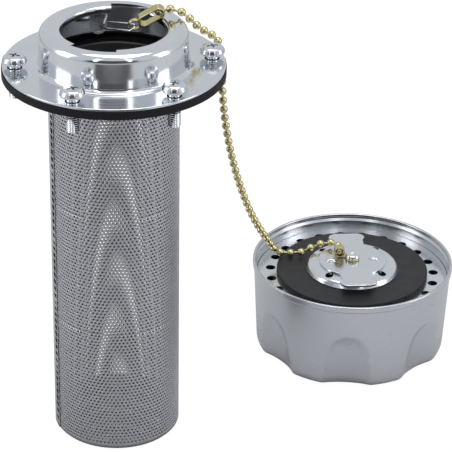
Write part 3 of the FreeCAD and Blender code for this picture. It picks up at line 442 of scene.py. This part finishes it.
bpy.context.scene.collection.objects.link(foot)
foot_mesh.set_sharp_from_angle(angle=math.radians(40))
thickened(foot, sheet)
foot_mesh.materials.append(punched_steel)
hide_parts("strainer_bottom")
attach(foot, "filler")


# Neck: a deep-drawn steel pressing with a bolting plate, an upright neck and a lip
# turned down into the mouth. Two notches let the cap's lugs in, and an ear holds the chain.
def bent_profile(corners, points=7):
    """A closed outline (radius, height) from corners (radius, height, bend).

    Each corner becomes an arc of its bend's radius: it starts bend * tan(turn / 2) before
    the corner, where turn is the change of direction, and ends as far after it.
    """
    path = np.array([c[:2] for c in corners], float)
    outline = []
    bends = [corner[2] for corner in corners]
    for before, corner, after, bend in zip(np.roll(path, 1, 0), path, np.roll(path, -1, 0), bends):
        back = (before - corner) / np.linalg.norm(before - corner)
        ahead = (after - corner) / np.linalg.norm(after - corner)
        if bend == 0:
            outline.append(corner[None])
            continue
        half = math.acos(np.clip(back @ ahead, -1, 1)) / 2
        middle = corner + (back + ahead) / np.linalg.norm(back + ahead) * bend / math.sin(half)
        start = corner + back * bend / math.tan(half) - middle
        end = corner + ahead * bend / math.tan(half) - middle
        turn = math.atan2(start[0] * end[1] - start[1] * end[0], start @ end)
        t = np.linspace(0, turn, points)[:, None]
        outline.append(middle + start * np.cos(t) + np.stack([-start[1], start[0]]) * np.sin(t))
    outline = np.concatenate(outline)
    # points close to both ends of a straight run keep the shading flat between them
    least_run, inset = 0.0008, 0.0001
    full = []
    for a, b in zip(outline, np.roll(outline, -1, 0)):
        run = np.linalg.norm(b - a)
        full.append(a)
        if run > least_run and max(a[0], b[0]) > 1e-9:
            full += [a + (b - a) * inset / run, b - (b - a) * inset / run]
    return np.array(full)


def outward(piece):
    """Turns every closed shell of a piece so that its faces point outwards."""
    bm = bmesh.new()
    bm.from_mesh(piece.data)
    bmesh.ops.recalc_face_normals(bm, faces=bm.faces)
    bm.to_mesh(piece.data)
    bm.free()
    return piece


def ring_faces(rings, sides, closed=False):
    """Quads between rings of equally many points, also from the last to the first if closed."""
    i, j = np.meshgrid(np.arange(rings if closed else rings - 1), np.arange(sides), indexing="ij")
    after, above = (j + 1) % sides, (i + 1) % rings
    quads = np.stack([i * sides + j, i * sides + after, above * sides + after, above * sides + j], -1)
    return quads.reshape(-1, 4)


def fan_faces(rings, sides):
    """Triangles from the first and the last ring to the two points that follow all rings."""
    k = np.arange(sides)
    after, last, end = (k + 1) % sides, (rings - 1) * sides, rings * sides
    return np.concatenate([np.stack([np.full(sides, end), after, k], -1),
                           np.stack([np.full(sides, end + 1), last + k, last + after], -1)])


def turned_surface(name, outline, centre=(0, 0, 0), steps=160, smooth=32.0):
    """A surface of revolution about the vertical through centre.

    Point (i, j) of the grid is outline point i turned by j / steps of a full turn. An outline
    that starts and ends on the axis is closed there by fans, and any other is a closed loop.
    """
    outline = np.asarray(outline, float)
    turn = np.linspace(0, 2 * math.pi, steps, endpoint=False)
    capped = abs(outline[0, 0]) < 1e-9 and abs(outline[-1, 0]) < 1e-9
    body = outline[1:-1] if capped else outline
    points = np.stack([body[:, :1] * np.cos(turn), body[:, :1] * np.sin(turn),
                       np.repeat(body[:, 1:], steps, 1)], -1).reshape(-1, 3)
    faces = list(ring_faces(len(body), steps, not capped))
    if capped:
        points = np.concatenate([points, [(0, 0, outline[0, 1]), (0, 0, outline[-1, 1])]])
        faces += list(fan_faces(len(body), steps))
    return outward(new_surface(name, points + np.asarray(centre), faces, smooth))


def carved(piece, cutters, smooth=32.0):
    """A piece with the cutters' shapes taken out of it for good."""
    for cutter in cutters:
        cut = piece.modifiers.new("cut", "BOOLEAN")
        cut.object = cutter
        cut.solver = "EXACT"
    bpy.context.view_layer.update()
    mesh = bpy.data.meshes.new_from_object(piece.evaluated_get(bpy.context.evaluated_depsgraph_get()))
    piece.modifiers.clear()
    mesh.name = piece.name
    piece.data = mesh
    mesh.set_sharp_from_angle(angle=math.radians(smooth))
    for cutter in cutters:
        bpy.data.objects.remove(cutter)
    return piece


def wedge(name, inner, outer, low, high, start, span, steps=24):
    """A block between two radii, two heights and two angles in degrees."""
    turn = np.radians(np.linspace(start, start + span, steps))
    ring = [(inner, low), (outer, low), (outer, high), (inner, high)]
    points = np.array([[(r * math.cos(a), r * math.sin(a), z) for r, z in ring] for a in turn]).reshape(-1, 3)
    faces = [(4 * k + i, 4 * k + (i + 1) % 4, 4 * k + 4 + (i + 1) % 4, 4 * k + 4 + i)
             for k in range(steps - 1) for i in range(4)]
    faces += [(0, 1, 2, 3), tuple(4 * (steps - 1) + i for i in (3, 2, 1, 0))]
    return outward(new_surface(name, points, faces))


def on_circle(radius, degrees, centre=(0, 0)):
    """A place (x, y) on a circle about a centre."""
    turn = math.radians(degrees)
    return centre[0] + radius * math.cos(turn), centre[1] + radius * math.sin(turn)


def pin_block(place, radius, low, high):
    """An upright round block at a place."""
    return turned_surface("hole_block", [(0, low), (radius, low), (radius, high), (0, high)], (*place, 0), 32)


def soft_edges(piece, width, segments, angle):
    """Rounds the edges of a piece that turn by more than an angle in degrees."""
    soft = piece.modifiers.new("edge", "BEVEL")
    soft.width = width
    soft.segments = segments
    soft.limit_method = "ANGLE"
    soft.angle_limit = math.radians(angle)
    return piece


def flat_ring(name, outer, inner, depth, origin, across, up, bend):
    """A plate between two outlines of equally many points, in the plane of across and up.

    A point is origin + u * across + v * up, once at half the depth to each side of the plane.
    """
    origin, across, up = (np.asarray(v, float) for v in (origin, across, up))
    side = np.cross(across, up)
    loops = [np.asarray(o, float) for o in (outer, inner)]
    n = len(loops[0])
    points = np.concatenate([origin + loop[:, :1] * across + loop[:, 1:] * up + side * depth * half
                             for half in (-0.5, 0.5) for loop in loops])
    k = np.arange(n)
    after = (k + 1) % n
    faces = np.concatenate([np.stack([a * n + k, a * n + after, b * n + after, b * n + k], -1)
                            for a, b in ((0, 1), (1, 3), (3, 2), (2, 0))])
    return soft_edges(outward(new_surface(name, points, faces)), bend, 3, 50)


bright_zinc = worn_material("bright_zinc_plate", (0.72, 0.745, 0.775), 1.0, (0.10, 0.15), patch=0.012,
                            grain=0.0015, change=0.03, relief=0.000002, rings=(0, 0, 0.0011, 0.00003))
sheet_steel = 0.001
plate_radius, plate_foot, plate_top = 0.0412, 0.0030, 0.0040
neck_radius, neck_flare, neck_top = 0.0275, 0.0005, 0.0183
mouth, lip_top, lip_foot = 0.0195, 0.0179, 0.0152
neck_inside, lip_back = neck_radius - sheet_steel, mouth + sheet_steel
neck = turned_surface("neck_pressing", bent_profile([
    (plate_radius, plate_foot, 0.0002), (plate_radius, plate_top, 0.0003),
    (neck_radius + neck_flare, plate_top, 0.0020), (neck_radius, neck_top, 0.0030),
    (mouth, lip_top, 0.0013), (mouth, lip_foot, 0.0003), (lip_back, lip_foot, 0.0003),
    (lip_back, lip_top - sheet_steel, 0.0003), (neck_inside, neck_top - sheet_steel, 0.0020),
    (neck_inside, plate_foot, 0.0030)], 9), steps=240)
notch_radius, notch_span, notch_turns = 0.0227, 46, (72.5, 252.5)
screw_circle, screw_turn, screw_play_radius = 0.0365, 9.0, 0.0028
screw_places = [on_circle(screw_circle, screw_turn + 60 * k) for k in range(6)]
cutters = [wedge("notch_block", mouth - 0.002, notch_radius, 0.012, 0.020, turn - notch_span / 2, notch_span)
           for turn in notch_turns]
cutters += [pin_block(place, screw_play_radius, 0.0, 0.01) for place in screw_places]
carved(neck, cutters)
neck.data.materials.append(bright_zinc)
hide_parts("neck_flange")
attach(neck, "filler")

# the ear is a half circle below and straight at its sides above
ear_turn = math.radians(109.4)
ear_half_width, ear_top, ear_hole_radius, ear_level = 0.0032, 0.0068, 0.0020, 0.0105
ear_out = np.array((math.cos(ear_turn), math.sin(ear_turn), 0))
ear_across = np.array((math.sin(ear_turn), -math.cos(ear_turn), 0))
t = np.linspace(0, 2 * math.pi, 48, endpoint=False)
upper = np.sin(t) > 0
ear_edge = np.stack([ear_half_width * np.where(upper, np.clip(np.cos(t) * 1.6, -1, 1), np.cos(t)),
                     np.where(upper, ear_top, ear_half_width * np.sin(t))], -1)
ear_hole = np.stack([np.cos(t), np.sin(t)], -1) * ear_hole_radius
ear_middle = ear_out * (mouth + sheet_steel / 2) + (0, 0, ear_level)
ear = flat_ring("neck_ear", ear_edge, ear_hole, sheet_steel, ear_middle, ear_across, (0, 0, 1), 0.00015)
ear.data.materials.append(bright_zinc)
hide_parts("neck_flange")
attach(ear, "filler")

# Screws: six zinc-plated pan-head screws with a crossed recess. Their heads stand a
# little proud of the plate, and their threads go down through both gaskets.
screw_zinc = worn_material("screw_zinc", (0.70, 0.72, 0.75), 1.0, (0.14, 0.20), patch=0.004, grain=0.0006,
                           change=0.06, relief=0.000002)
seat = plate_top + 0.002
head_radius, head_height = 0.0047, 0.0031
head_outline = bent_profile([
    (0, seat, 0), (head_radius * 0.96, seat, 0.0003), (head_radius, seat + 0.0009, 0.0006),
    (head_radius * 0.86, seat + head_height * 0.88, 0.0013), (0, seat + head_height, 0)], 6)
pitch, ridge, thread_radius, thread_length = 0.0008, 0.00014, 0.0023, 0.0139
thread_outline = [(0, seat - 0.0001)]
quarter = pitch / 4
for i in range(int(thread_length / quarter)):
    level = seat - i * quarter
    # above the tank gasket's underside the thread is out of sight, and shallow
    thread_outline.append((thread_radius + (0, ridge, 0, -ridge)[i % 4] * (1 if level < 0 else 0.2), level))
thread_outline.append((0, seat - thread_length))
recess_width = 0.0008
box_faces = [(0, 1, 2, 3), (4, 5, 6, 7), (0, 1, 5, 4), (1, 2, 6, 5), (2, 3, 7, 6), (3, 0, 4, 7)]
for k, (x, y) in enumerate(screw_places):
    head = turned_surface("screw_head_%d" % (k + 1), head_outline, (x, y, 0), 64)
    recess_turn = math.radians(18 + 47 * k)
    cross = []
    for reach, turn in ((0.00323, recess_turn), (0.002465, recess_turn + math.pi / 2)):
        along = np.array((math.cos(turn), math.sin(turn), 0))
        over = np.array((-along[1], along[0], 0))
        block = np.array([(x, y, z) + along * a * share * reach + over * b * recess_width / 2
                          for z, share in ((seat + 0.0012, 0.45), (seat + 0.005, 1))
                          for a, b in ((-1, -1), (1, -1), (1, 1), (-1, 1))])
        cross.append(outward(new_surface("cross_block", block, box_faces)))
    carved(head, cross)
    rod = turned_surface("screw_thread_%d" % (k + 1), thread_outline, (x, y, 0), 32, 60)
    for piece in (head, rod):
        piece.data.materials.append(screw_zinc)
        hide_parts("screw_%d" % (k + 1))
        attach(piece, "filler")

# Cap shell: a drawn steel cup, here upside down, with a rounded crown, seven hollows
# pressed into its side for the hand, and a rolled hem round its rim.
cap_centre = np.array((0.0947, 0.0607, floor_level))
crown, skirt, rim, cap_height = 0.0388, 0.0407, 0.04125, 0.0401
hem_foot = cap_height - 0.0024
hem = 0.0012
cap_outline = bent_profile([
    (0, 0, 0), (crown, 0, 0.0056), (skirt, hem_foot - 0.0004, 0.0006), (rim, hem_foot + 0.0001, 0.0004),
    (rim, cap_height, 0.0005), (rim - hem, cap_height, 0.0005), (rim - hem, cap_height - 0.0010, 0.0002),
    (rim - 0.0008, cap_height - 0.0013, 0.0002), (rim - 0.0008, hem_foot + 0.0004, 0.0003),
    (skirt - sheet_steel, hem_foot - 0.0006, 0.0004),
    (crown - sheet_steel, sheet_steel, 0.0046), (0, sheet_steel, 0)], 10)
# a skirt needs rows of points between its bends, for the hollows
dense = [cap_outline[:1]]
for a, b in zip(cap_outline, cap_outline[1:]):
    outer_wall = a[0] > crown - 0.002 and a[1] <= b[1]
    parts = max(1, int(np.linalg.norm(b - a) / (0.0007 if outer_wall else 0.004)))
    dense.append(a + (b - a) * (np.arange(1, parts + 1) / parts)[:, None])
cap_outline = np.concatenate(dense)
hollows = 7
hollow_turn = math.radians(-94)


def hollow_depth(turn, level):
    """How far the hand hollows are pressed in at an angle round the cap and a height.

    Each of the hollows is the near wall of a cylinder outside the cap. Its distance from the
    cap's axis is D cos t - sqrt(q^2 - D^2 sin^2 t), with q its radius, D its axis's distance
    and t the angle from the hollow's middle. D leaves a middle depth that falls slowly with
    height and then to nought in a round arch. The depth is the skirt's radius less that wall,
    softly cut off at nought.
    """
    bend, deep, slope, top, beyond, soft = 0.0300, 0.0035, 0.062, 0.0258, 0.0008, 0.00010
    t = (turn - hollow_turn + math.pi / hollows) % (2 * math.pi / hollows) - math.pi / hollows
    here = crown + (skirt - crown) * level / hem_foot
    middle_depth = (deep - slope * level) * (1 - np.minimum(level / top, 1.0) ** 7) - beyond * (level > top)
    near = here - middle_depth + bend
    wall = near * np.cos(t) - np.sqrt(np.maximum(bend ** 2 - (near * np.sin(t)) ** 2, 0))
    inside = (near * np.sin(t)) ** 2 < bend ** 2
    depth = np.where(inside, here - wall, -1)
    return soft * np.logaddexp(0, np.clip(depth / soft, -60, 60))


steps = hollows * 64
turn = np.linspace(0, 2 * math.pi, steps, endpoint=False)
level = np.repeat(cap_outline[:, 1:], steps, 1)
depth = hollow_depth(turn[None, :], np.maximum(level, 0))
radius = cap_outline[:, :1] - depth * (cap_outline[:, :1] / crown) ** 3
grid = np.stack([radius * np.cos(turn), radius * np.sin(turn), level], -1)[1:-1].reshape(-1, 3)
points = np.concatenate([grid, [(0, 0, cap_outline[0, 1]), (0, 0, cap_outline[-1, 1])]]) + cap_centre
rings = len(cap_outline) - 2
faces = list(ring_faces(rings, steps)) + list(fan_faces(rings, steps))
cap = outward(new_surface("cap_cup", points, faces, 40))
satin_plate = worn_material("satin_plate", (0.60, 0.61, 0.635), 1.0, (0.24, 0.28), patch=0.02, change=0.02,
                            relief=0.0000008)
cap.data.materials.append(satin_plate)
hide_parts("cap_shell")
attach(cap, "cap")

# Breather filter and vent plate: black foam under a zinc-plated disc with a circle
# of breathing holes.
filter_foam = worn_material("filter_foam", (0.02, 0.02, 0.022), 0.0, (0.8, 0.95), patch=0.002, grain=0.0008,
                            change=0.5, relief=0.0003)
plate_zinc = worn_material("plate_zinc", (0.72, 0.74, 0.77), 1.0, (0.20, 0.26), patch=0.006, grain=0.0005,
                           change=0.04, relief=0.000001)
finish_nodes(filter_foam, "breather_filter")
low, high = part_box("vent_plate")
vent_radius = (high[0] - low[0]) / 2
vent_holes, vent_circle, vent_turn, vent_hole_radius = 23, 0.0339, 2, 0.0020
vent_plate = turned_surface("vent_disc", bent_profile([
    (0, low[2], 0), (vent_radius, low[2], 0.0002), (vent_radius, high[2], 0.0002), (0, high[2], 0)], 3),
    (cap_centre[0], cap_centre[1], 0), 160)
carved(vent_plate, [
    pin_block(on_circle(vent_circle, vent_turn + 360 * k / vent_holes, cap_centre), vent_hole_radius,
              low[2] - 0.001, high[2] + 0.001) for k in range(vent_holes)])
vent_plate.data.materials.append(plate_zinc)
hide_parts("vent_plate")
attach(vent_plate, "cap")

# Cap seal: a flat ring of black rubber, cut from sheet, on the vent plate.
# It seals the cap on the neck's top.
ring_rubber = worn_material("ring_rubber", (0.019, 0.019, 0.020), 0.0, (0.45, 0.55), patch=0.005,
                            change=0.12, relief=0.000004, gloss=0.28,
                            rings=(cap_centre[0], cap_centre[1], 0.0005, 0.00004))
vent_top = cap_height - 0.0065
seal_top = vent_top + 0.0022
seal_radius, seal_bore = 0.0312, 0.0186
seal = turned_surface("seal_ring", bent_profile([
    (seal_bore, vent_top, 0.00015), (seal_radius, vent_top, 0.00015), (seal_radius, seal_top, 0.00025),
    (seal_bore, seal_top, 0.00025)], 4), cap_centre, 160)
seal.data.materials.append(ring_rubber)
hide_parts("cap_rubber_ring")
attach(seal, "cap")

# Dome, lug plate and rivets: a pressed dome stands on the rubber and carries the
# plate whose two lugs lock under the neck's ring. Three rivets hold them.
lug_foot = cap_height - sheet_steel
dome_radius, dome_bore = 0.0193, 0.0020
dome = turned_surface("dome_pressing", bent_profile([
    (0.0178, seal_top, 0), (dome_radius, seal_top, 0.0003), (0.0181, seal_top + 0.0024, 0.0022),
    (0.0136, lug_foot, 0.0050), (dome_bore, lug_foot, 0), (dome_bore, lug_foot - sheet_steel, 0),
    (0.0130, lug_foot - sheet_steel, 0.0040), (0.0172, seal_top + 0.0018, 0.0015)], 10), cap_centre, 160)
dome_hole_circle, dome_hole_radius = 0.0154, 0.0017
carved(dome, [
    pin_block(on_circle(dome_hole_circle, degrees, cap_centre), dome_hole_radius,
              floor_level + vent_top, floor_level + 0.05) for degrees in (50, 140, 230, 320)])
dome.data.materials.append(plate_zinc)
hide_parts("dome_retainer")
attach(dome, "cap")


def softened(name, node, width):
    """A copy of a CAD node's mesh, merged and with its edges rounded by a bevel."""
    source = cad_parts[node]
    bm = bmesh.new()
    bm.from_mesh(source.data)
    bmesh.ops.transform(bm, matrix=source.matrix_world, verts=bm.verts)
    bmesh.ops.remove_doubles(bm, verts=bm.verts, dist=1e-6)
    bmesh.ops.dissolve_limit(bm, angle_limit=math.radians(2), verts=bm.verts, edges=bm.edges)
    mesh = bpy.data.meshes.new(name)
    bm.to_mesh(mesh)
    bm.free()
    mesh.polygons.foreach_set("use_smooth", np.ones(len(mesh.polygons), bool))
    mesh.set_sharp_from_angle(angle=math.radians(32))
    piece = bpy.data.objects.new(name, mesh)
    bpy.context.scene.collection.objects.link(piece)
    return soft_edges(piece, width, 2, 40)


lugs = softened("lug_pressing", "lug_plate", 0.0003)
lugs.data.materials.clear()
lugs.data.materials.append(plate_zinc)
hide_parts("lug_plate")
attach(lugs, "cap")

rivet_steel = worn_material("rivet_steel", (0.74, 0.75, 0.77), 1.0, (0.10, 0.16), patch=0.003, grain=0.0005,
                            change=0.05, relief=0.000002)
rivet_foot = vent_top - 0.002
rivet_base = cap_height + 0.0009
rivet_radius, rivet_head = 0.0020, 0.0029
centre_rivet = turned_surface("centre_rivet_head", bent_profile([
    (0, rivet_foot, 0), (rivet_head, rivet_foot, 0), (rivet_head, rivet_foot + 0.001, 0),
    (rivet_radius, rivet_foot + 0.001, 0), (rivet_radius, rivet_base, 0), (rivet_head, rivet_base, 0.0002),
    (rivet_head, rivet_base + 0.0015, 0.0009), (0.0011, rivet_base + 0.0016, 0.0004),
    (0.0006, rivet_base + 0.0010, 0.0002), (0, rivet_base + 0.0010, 0)], 6), cap_centre, 64)
side_outline = bent_profile([
    (0, -0.0027, 0), (0.0021, -0.0027, 0), (0.0021, -0.002, 0), (0.0015, -0.002, 0), (0.0015, 0, 0),
    (0.0023, 0, 0), (0.0022, 0.0003, 0.0001), (0.0018, 0.0002, 0.0001), (0.0016, 0.0008, 0.0007),
    (0, 0.0009, 0)], 6)
side_reach, side_turn = 0.0089, 6
rivets = [(centre_rivet, "centre_rivet")]
for side, node in ((1, "side_rivet_right"), (-1, "side_rivet_left")):
    place = cap_centre + (*on_circle(side * side_reach, side_turn), cap_height)
    rivets.append((turned_surface(node + "_head", side_outline, place, 48), node))
for piece, node in rivets:
    piece.data.materials.append(rivet_steel)
    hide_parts(node)
    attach(piece, "cap")


# Wire link and couplings: a closed loop of steel wire hangs in the neck's ear and
# holds a folded brass strip, whose long loop grips the chain's first bead.
def round_tube(name, path, radius, normal, sides=14):
    """A closed round tube along a flat path of points whose plane has the given normal.

    Point (i, j) is path[i] + radius * (cos a_j * n + sin a_j * b_i), with n the plane's
    normal, b_i the direction across the path in its plane and a_j = j / sides of a turn.
    """
    along = np.roll(path, -1, 0) - np.roll(path, 1, 0)
    along /= np.linalg.norm(along, axis=1)[:, None]
    across = np.cross(normal, along)
    a = np.linspace(0, 2 * math.pi, sides, endpoint=False)[None, :, None]
    points = path[:, None] + radius * (np.cos(a) * normal + np.sin(a) * across[:, None])
    return outward(new_surface(name, points.reshape(-1, 3), ring_faces(len(path), sides, True)))


bright_wire = worn_material("bright_wire", (0.78, 0.79, 0.80), 1.0, (0.12, 0.2), patch=0.004, grain=0.0005,
                            change=0.05, relief=0.000001)
link_start = np.array((-0.004555, 0.019883, 0.010584))
link_along = np.array((0.71958, -0.66123, 0.21207))
link_across = np.array((0.45625, 0.68043, 0.57346))
link_run, link_bend, wire_radius = 0.014484, 0.00155, 0.00045


def slot_outline(start, end, radius, points=24):
    """A slot's outline: half circles of one radius round its two ends on the first axis."""
    a = np.linspace(math.pi / 2, 3 * math.pi / 2, points)
    half = np.stack([np.cos(a), np.sin(a)], -1) * radius
    return np.concatenate([half + (start, 0), -half + (end, 0)])


stadium = slot_outline(0, link_run, link_bend, 17)
link_path = link_start + stadium[:, :1] * link_along + stadium[:, 1:] * link_across
link = round_tube("ear_link", link_path, wire_radius, np.cross(link_along, link_across))
link.data.materials.append(bright_wire)
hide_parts("wire_link")
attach(link, "filler")

brass = worn_material("bright_brass", (0.60, 0.53, 0.285), 1.0, (0.16, 0.22), patch=0.002, change=0.08,
                      relief=0.000001)
eye_middle = np.array((0.007113, 0.010766, 0.014646))
strip_along = np.array((0.845299, -0.046961, 0.532225))
strip_side = np.array((0.517992, 0.316208, -0.794793))
eye_radius, strip = 0.0025, 0.0006
loop_start = 2 * eye_radius - strip
loop_end = loop_start + 0.006
for name, start, end, width in (("coupling_eye", 0, eye_radius * 0.1, 0.0016),
                                ("coupling_loop", loop_start, loop_end, 0.0032)):
    outer, inner = (slot_outline(start, end, radius) for radius in (eye_radius, eye_radius - strip))
    strap = flat_ring(name, outer, inner, width, eye_middle, strip_along, strip_side, 0.00026)
    strap.data.materials.append(brass)
    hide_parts("chain_coupling")
    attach(strap, "filler")

# the end coupling: a ring round the centre rivet, a tongue and the socket of the last bead
swivel = cap_centre + (0, 0, cap_height + 0.00015)
end_ring = turned_surface("chain_end_ring", bent_profile([
    (0.0023, 0, 0.0001), (0.0030, 0, 0.0002), (0.0030, strip, 0.0002), (0.0023, strip, 0.0001)], 4),
    swivel, 64)
a = np.linspace(0, 2 * math.pi, 40, endpoint=False)
ring = np.stack([np.cos(a), np.sin(a)], -1)
socket = flat_ring("chain_socket", ring * 0.0022, ring * 0.00175, 0.0036, swivel + (-0.0054, 0.0021, 0.00244),
                   (1, 0, 0), (0, 0, 1), 0.00012)
tongue = np.array([(x, y, z) for z in (0, strip) for x, y in ((-0.0063, 0.00066), (-0.0026, 0.00066),
                                                              (-0.0026, 0.00354), (-0.0063, 0.00354))])
bridge = soft_edges(outward(new_surface("chain_end_tongue", tongue + swivel, box_faces)), 0.00015, 2, 30)
for piece in (end_ring, socket, bridge):
    piece.data.materials.append(brass)
    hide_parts("cap_end_coupling")
    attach(piece, "filler")

# Bead chain: hollow brass beads on short pins. It runs from the coupling over the
# neck's shoulder and the plate's edge, hangs to the cap, folds on the rubber and ends
# in its socket.
chain_route = [
    (0.01607, 0.01027, 0.02029),
    (0.02087, 0.01047, 0.02189),
    (0.02561, 0.01045, 0.01970),
    (0.03101, 0.01375, 0.01220),
    (0.03797, 0.01915, 0.00640),
    (0.03967, 0.02075, -0.00150),
    (0.03977, 0.02115, -0.01600),
    (0.04137, 0.02686, -0.03467),
    (0.04537, 0.03707, -0.05884),
    (0.05230, 0.05052, -0.08534),
    (0.06040, 0.06505, -0.10560),
    (0.06350, 0.06950, -0.11220),
    (0.06920, 0.06970, -0.11245),
    (0.07410, 0.06970, -0.11220),
    (0.07940, 0.07030, -0.10890),
    (0.08480, 0.07090, -0.10760),
    (0.08870, 0.06890, -0.10730),
    (0.08930, 0.06496, -0.10731),
    (0.08930, 0.06280, -0.10731),
]
line = bpy.data.curves.new("chain_line", "CURVE")
line.dimensions = "3D"
spline = line.splines.new("NURBS")
spline.points.add(len(chain_route) - 1)
spline.points.foreach_set("co", np.insert(np.array(chain_route), 3, 1, axis=1).ravel())
spline.order_u = 3
spline.use_endpoint_u = True
spline.resolution_u = 24
guide = bpy.data.objects.new("chain_line", line)
bpy.context.scene.collection.objects.link(guide)
bpy.context.view_layer.update()
read = bpy.data.meshes.new_from_object(guide.evaluated_get(bpy.context.evaluated_depsgraph_get()))
path = np.empty(len(read.vertices) * 3)
read.vertices.foreach_get("co", path)
path = path.reshape(-1, 3)
bpy.data.objects.remove(guide)
run = np.concatenate([[0], np.cumsum(np.linalg.norm(np.diff(path, axis=0), axis=1))])
chain_length = run[-1]
bead_radius, pin_radius, bead_gap = 0.0016, 0.00045, 0.00446
beads = int(round(chain_length / bead_gap)) + 1
stops = np.linspace(0, chain_length, beads)


def along_path(distance):
    """Points at distances along the chain's line, between its read points."""
    return np.stack([np.interp(distance, run, path[:, axis]) for axis in range(3)], -1)


def frames_along(heading):
    """Right-angled frames of rows (side, up, heading), one for each direction."""
    never_followed = (0.3, -0.2, 0.93)
    heading = heading / np.linalg.norm(heading, axis=1)[:, None]
    side = np.cross(heading, never_followed)
    side /= np.linalg.norm(side, axis=1)[:, None]
    return np.stack([side, np.cross(heading, side), heading], 1)


def strung(outline, frames, places, sides):
    """Copies of one turned form along the chain.

    The form is the outline (radius, height along the chain) turned about its own axis. Copy k
    has its axis along frame k's last row and its middle at place k. The outline's two ends
    are on the axis.
    """
    outline = np.asarray(outline, float)
    a = np.linspace(0, 2 * math.pi, sides, endpoint=False)
    body = outline[1:-1]
    form = np.stack([body[:, :1] * np.cos(a), body[:, :1] * np.sin(a), np.repeat(body[:, 1:], sides, 1)], -1)
    form = np.concatenate([form.reshape(-1, 3), [(0, 0, outline[0, 1]), (0, 0, outline[-1, 1])]])
    points = np.einsum("pc,kcx->kpx", form, frames) + places[:, None]
    shift = (np.arange(len(places)) * len(form))[:, None, None]
    faces = [tuple(f) for f in (ring_faces(len(body), sides)[None] + shift).reshape(-1, 4)]
    faces += [tuple(f) for f in (fan_faces(len(body), sides)[None] + shift).reshape(-1, 3)]
    return points.reshape(-1, 3), faces


middles = along_path(stops)
half_look = 0.0008
ahead = along_path(np.minimum(stops + half_look, chain_length))
behind = along_path(np.maximum(stops - half_look, 0))
ball_end = bead_radius * 0.93
lean = np.radians(np.linspace(-74, 74, 13))
ball = [(bead_radius * math.cos(t), bead_radius * math.sin(t)) for t in lean]
ball = [(0, -ball_end)] + ball + [(0, ball_end)]
ball_points, ball_faces = strung(ball, frames_along(ahead - behind), middles, 20)
pin_heading = np.diff(middles, axis=0)
reach = np.linalg.norm(pin_heading, axis=1).mean() / 2 - bead_radius * 0.7
pin = [(0, -reach), (pin_radius, -reach), (pin_radius, reach), (0, reach)]
pin_points, pin_faces = strung(pin, frames_along(pin_heading), (middles[1:] + middles[:-1]) / 2, 12)
pin_faces = [tuple(i + len(ball_points) for i in f) for f in pin_faces]
points = np.concatenate([ball_points, pin_points])
chain = outward(new_surface("ball_chain", points, ball_faces + pin_faces, 50))
chain.data.materials.append(brass)
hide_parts("bead_chain")
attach(chain, "filler")
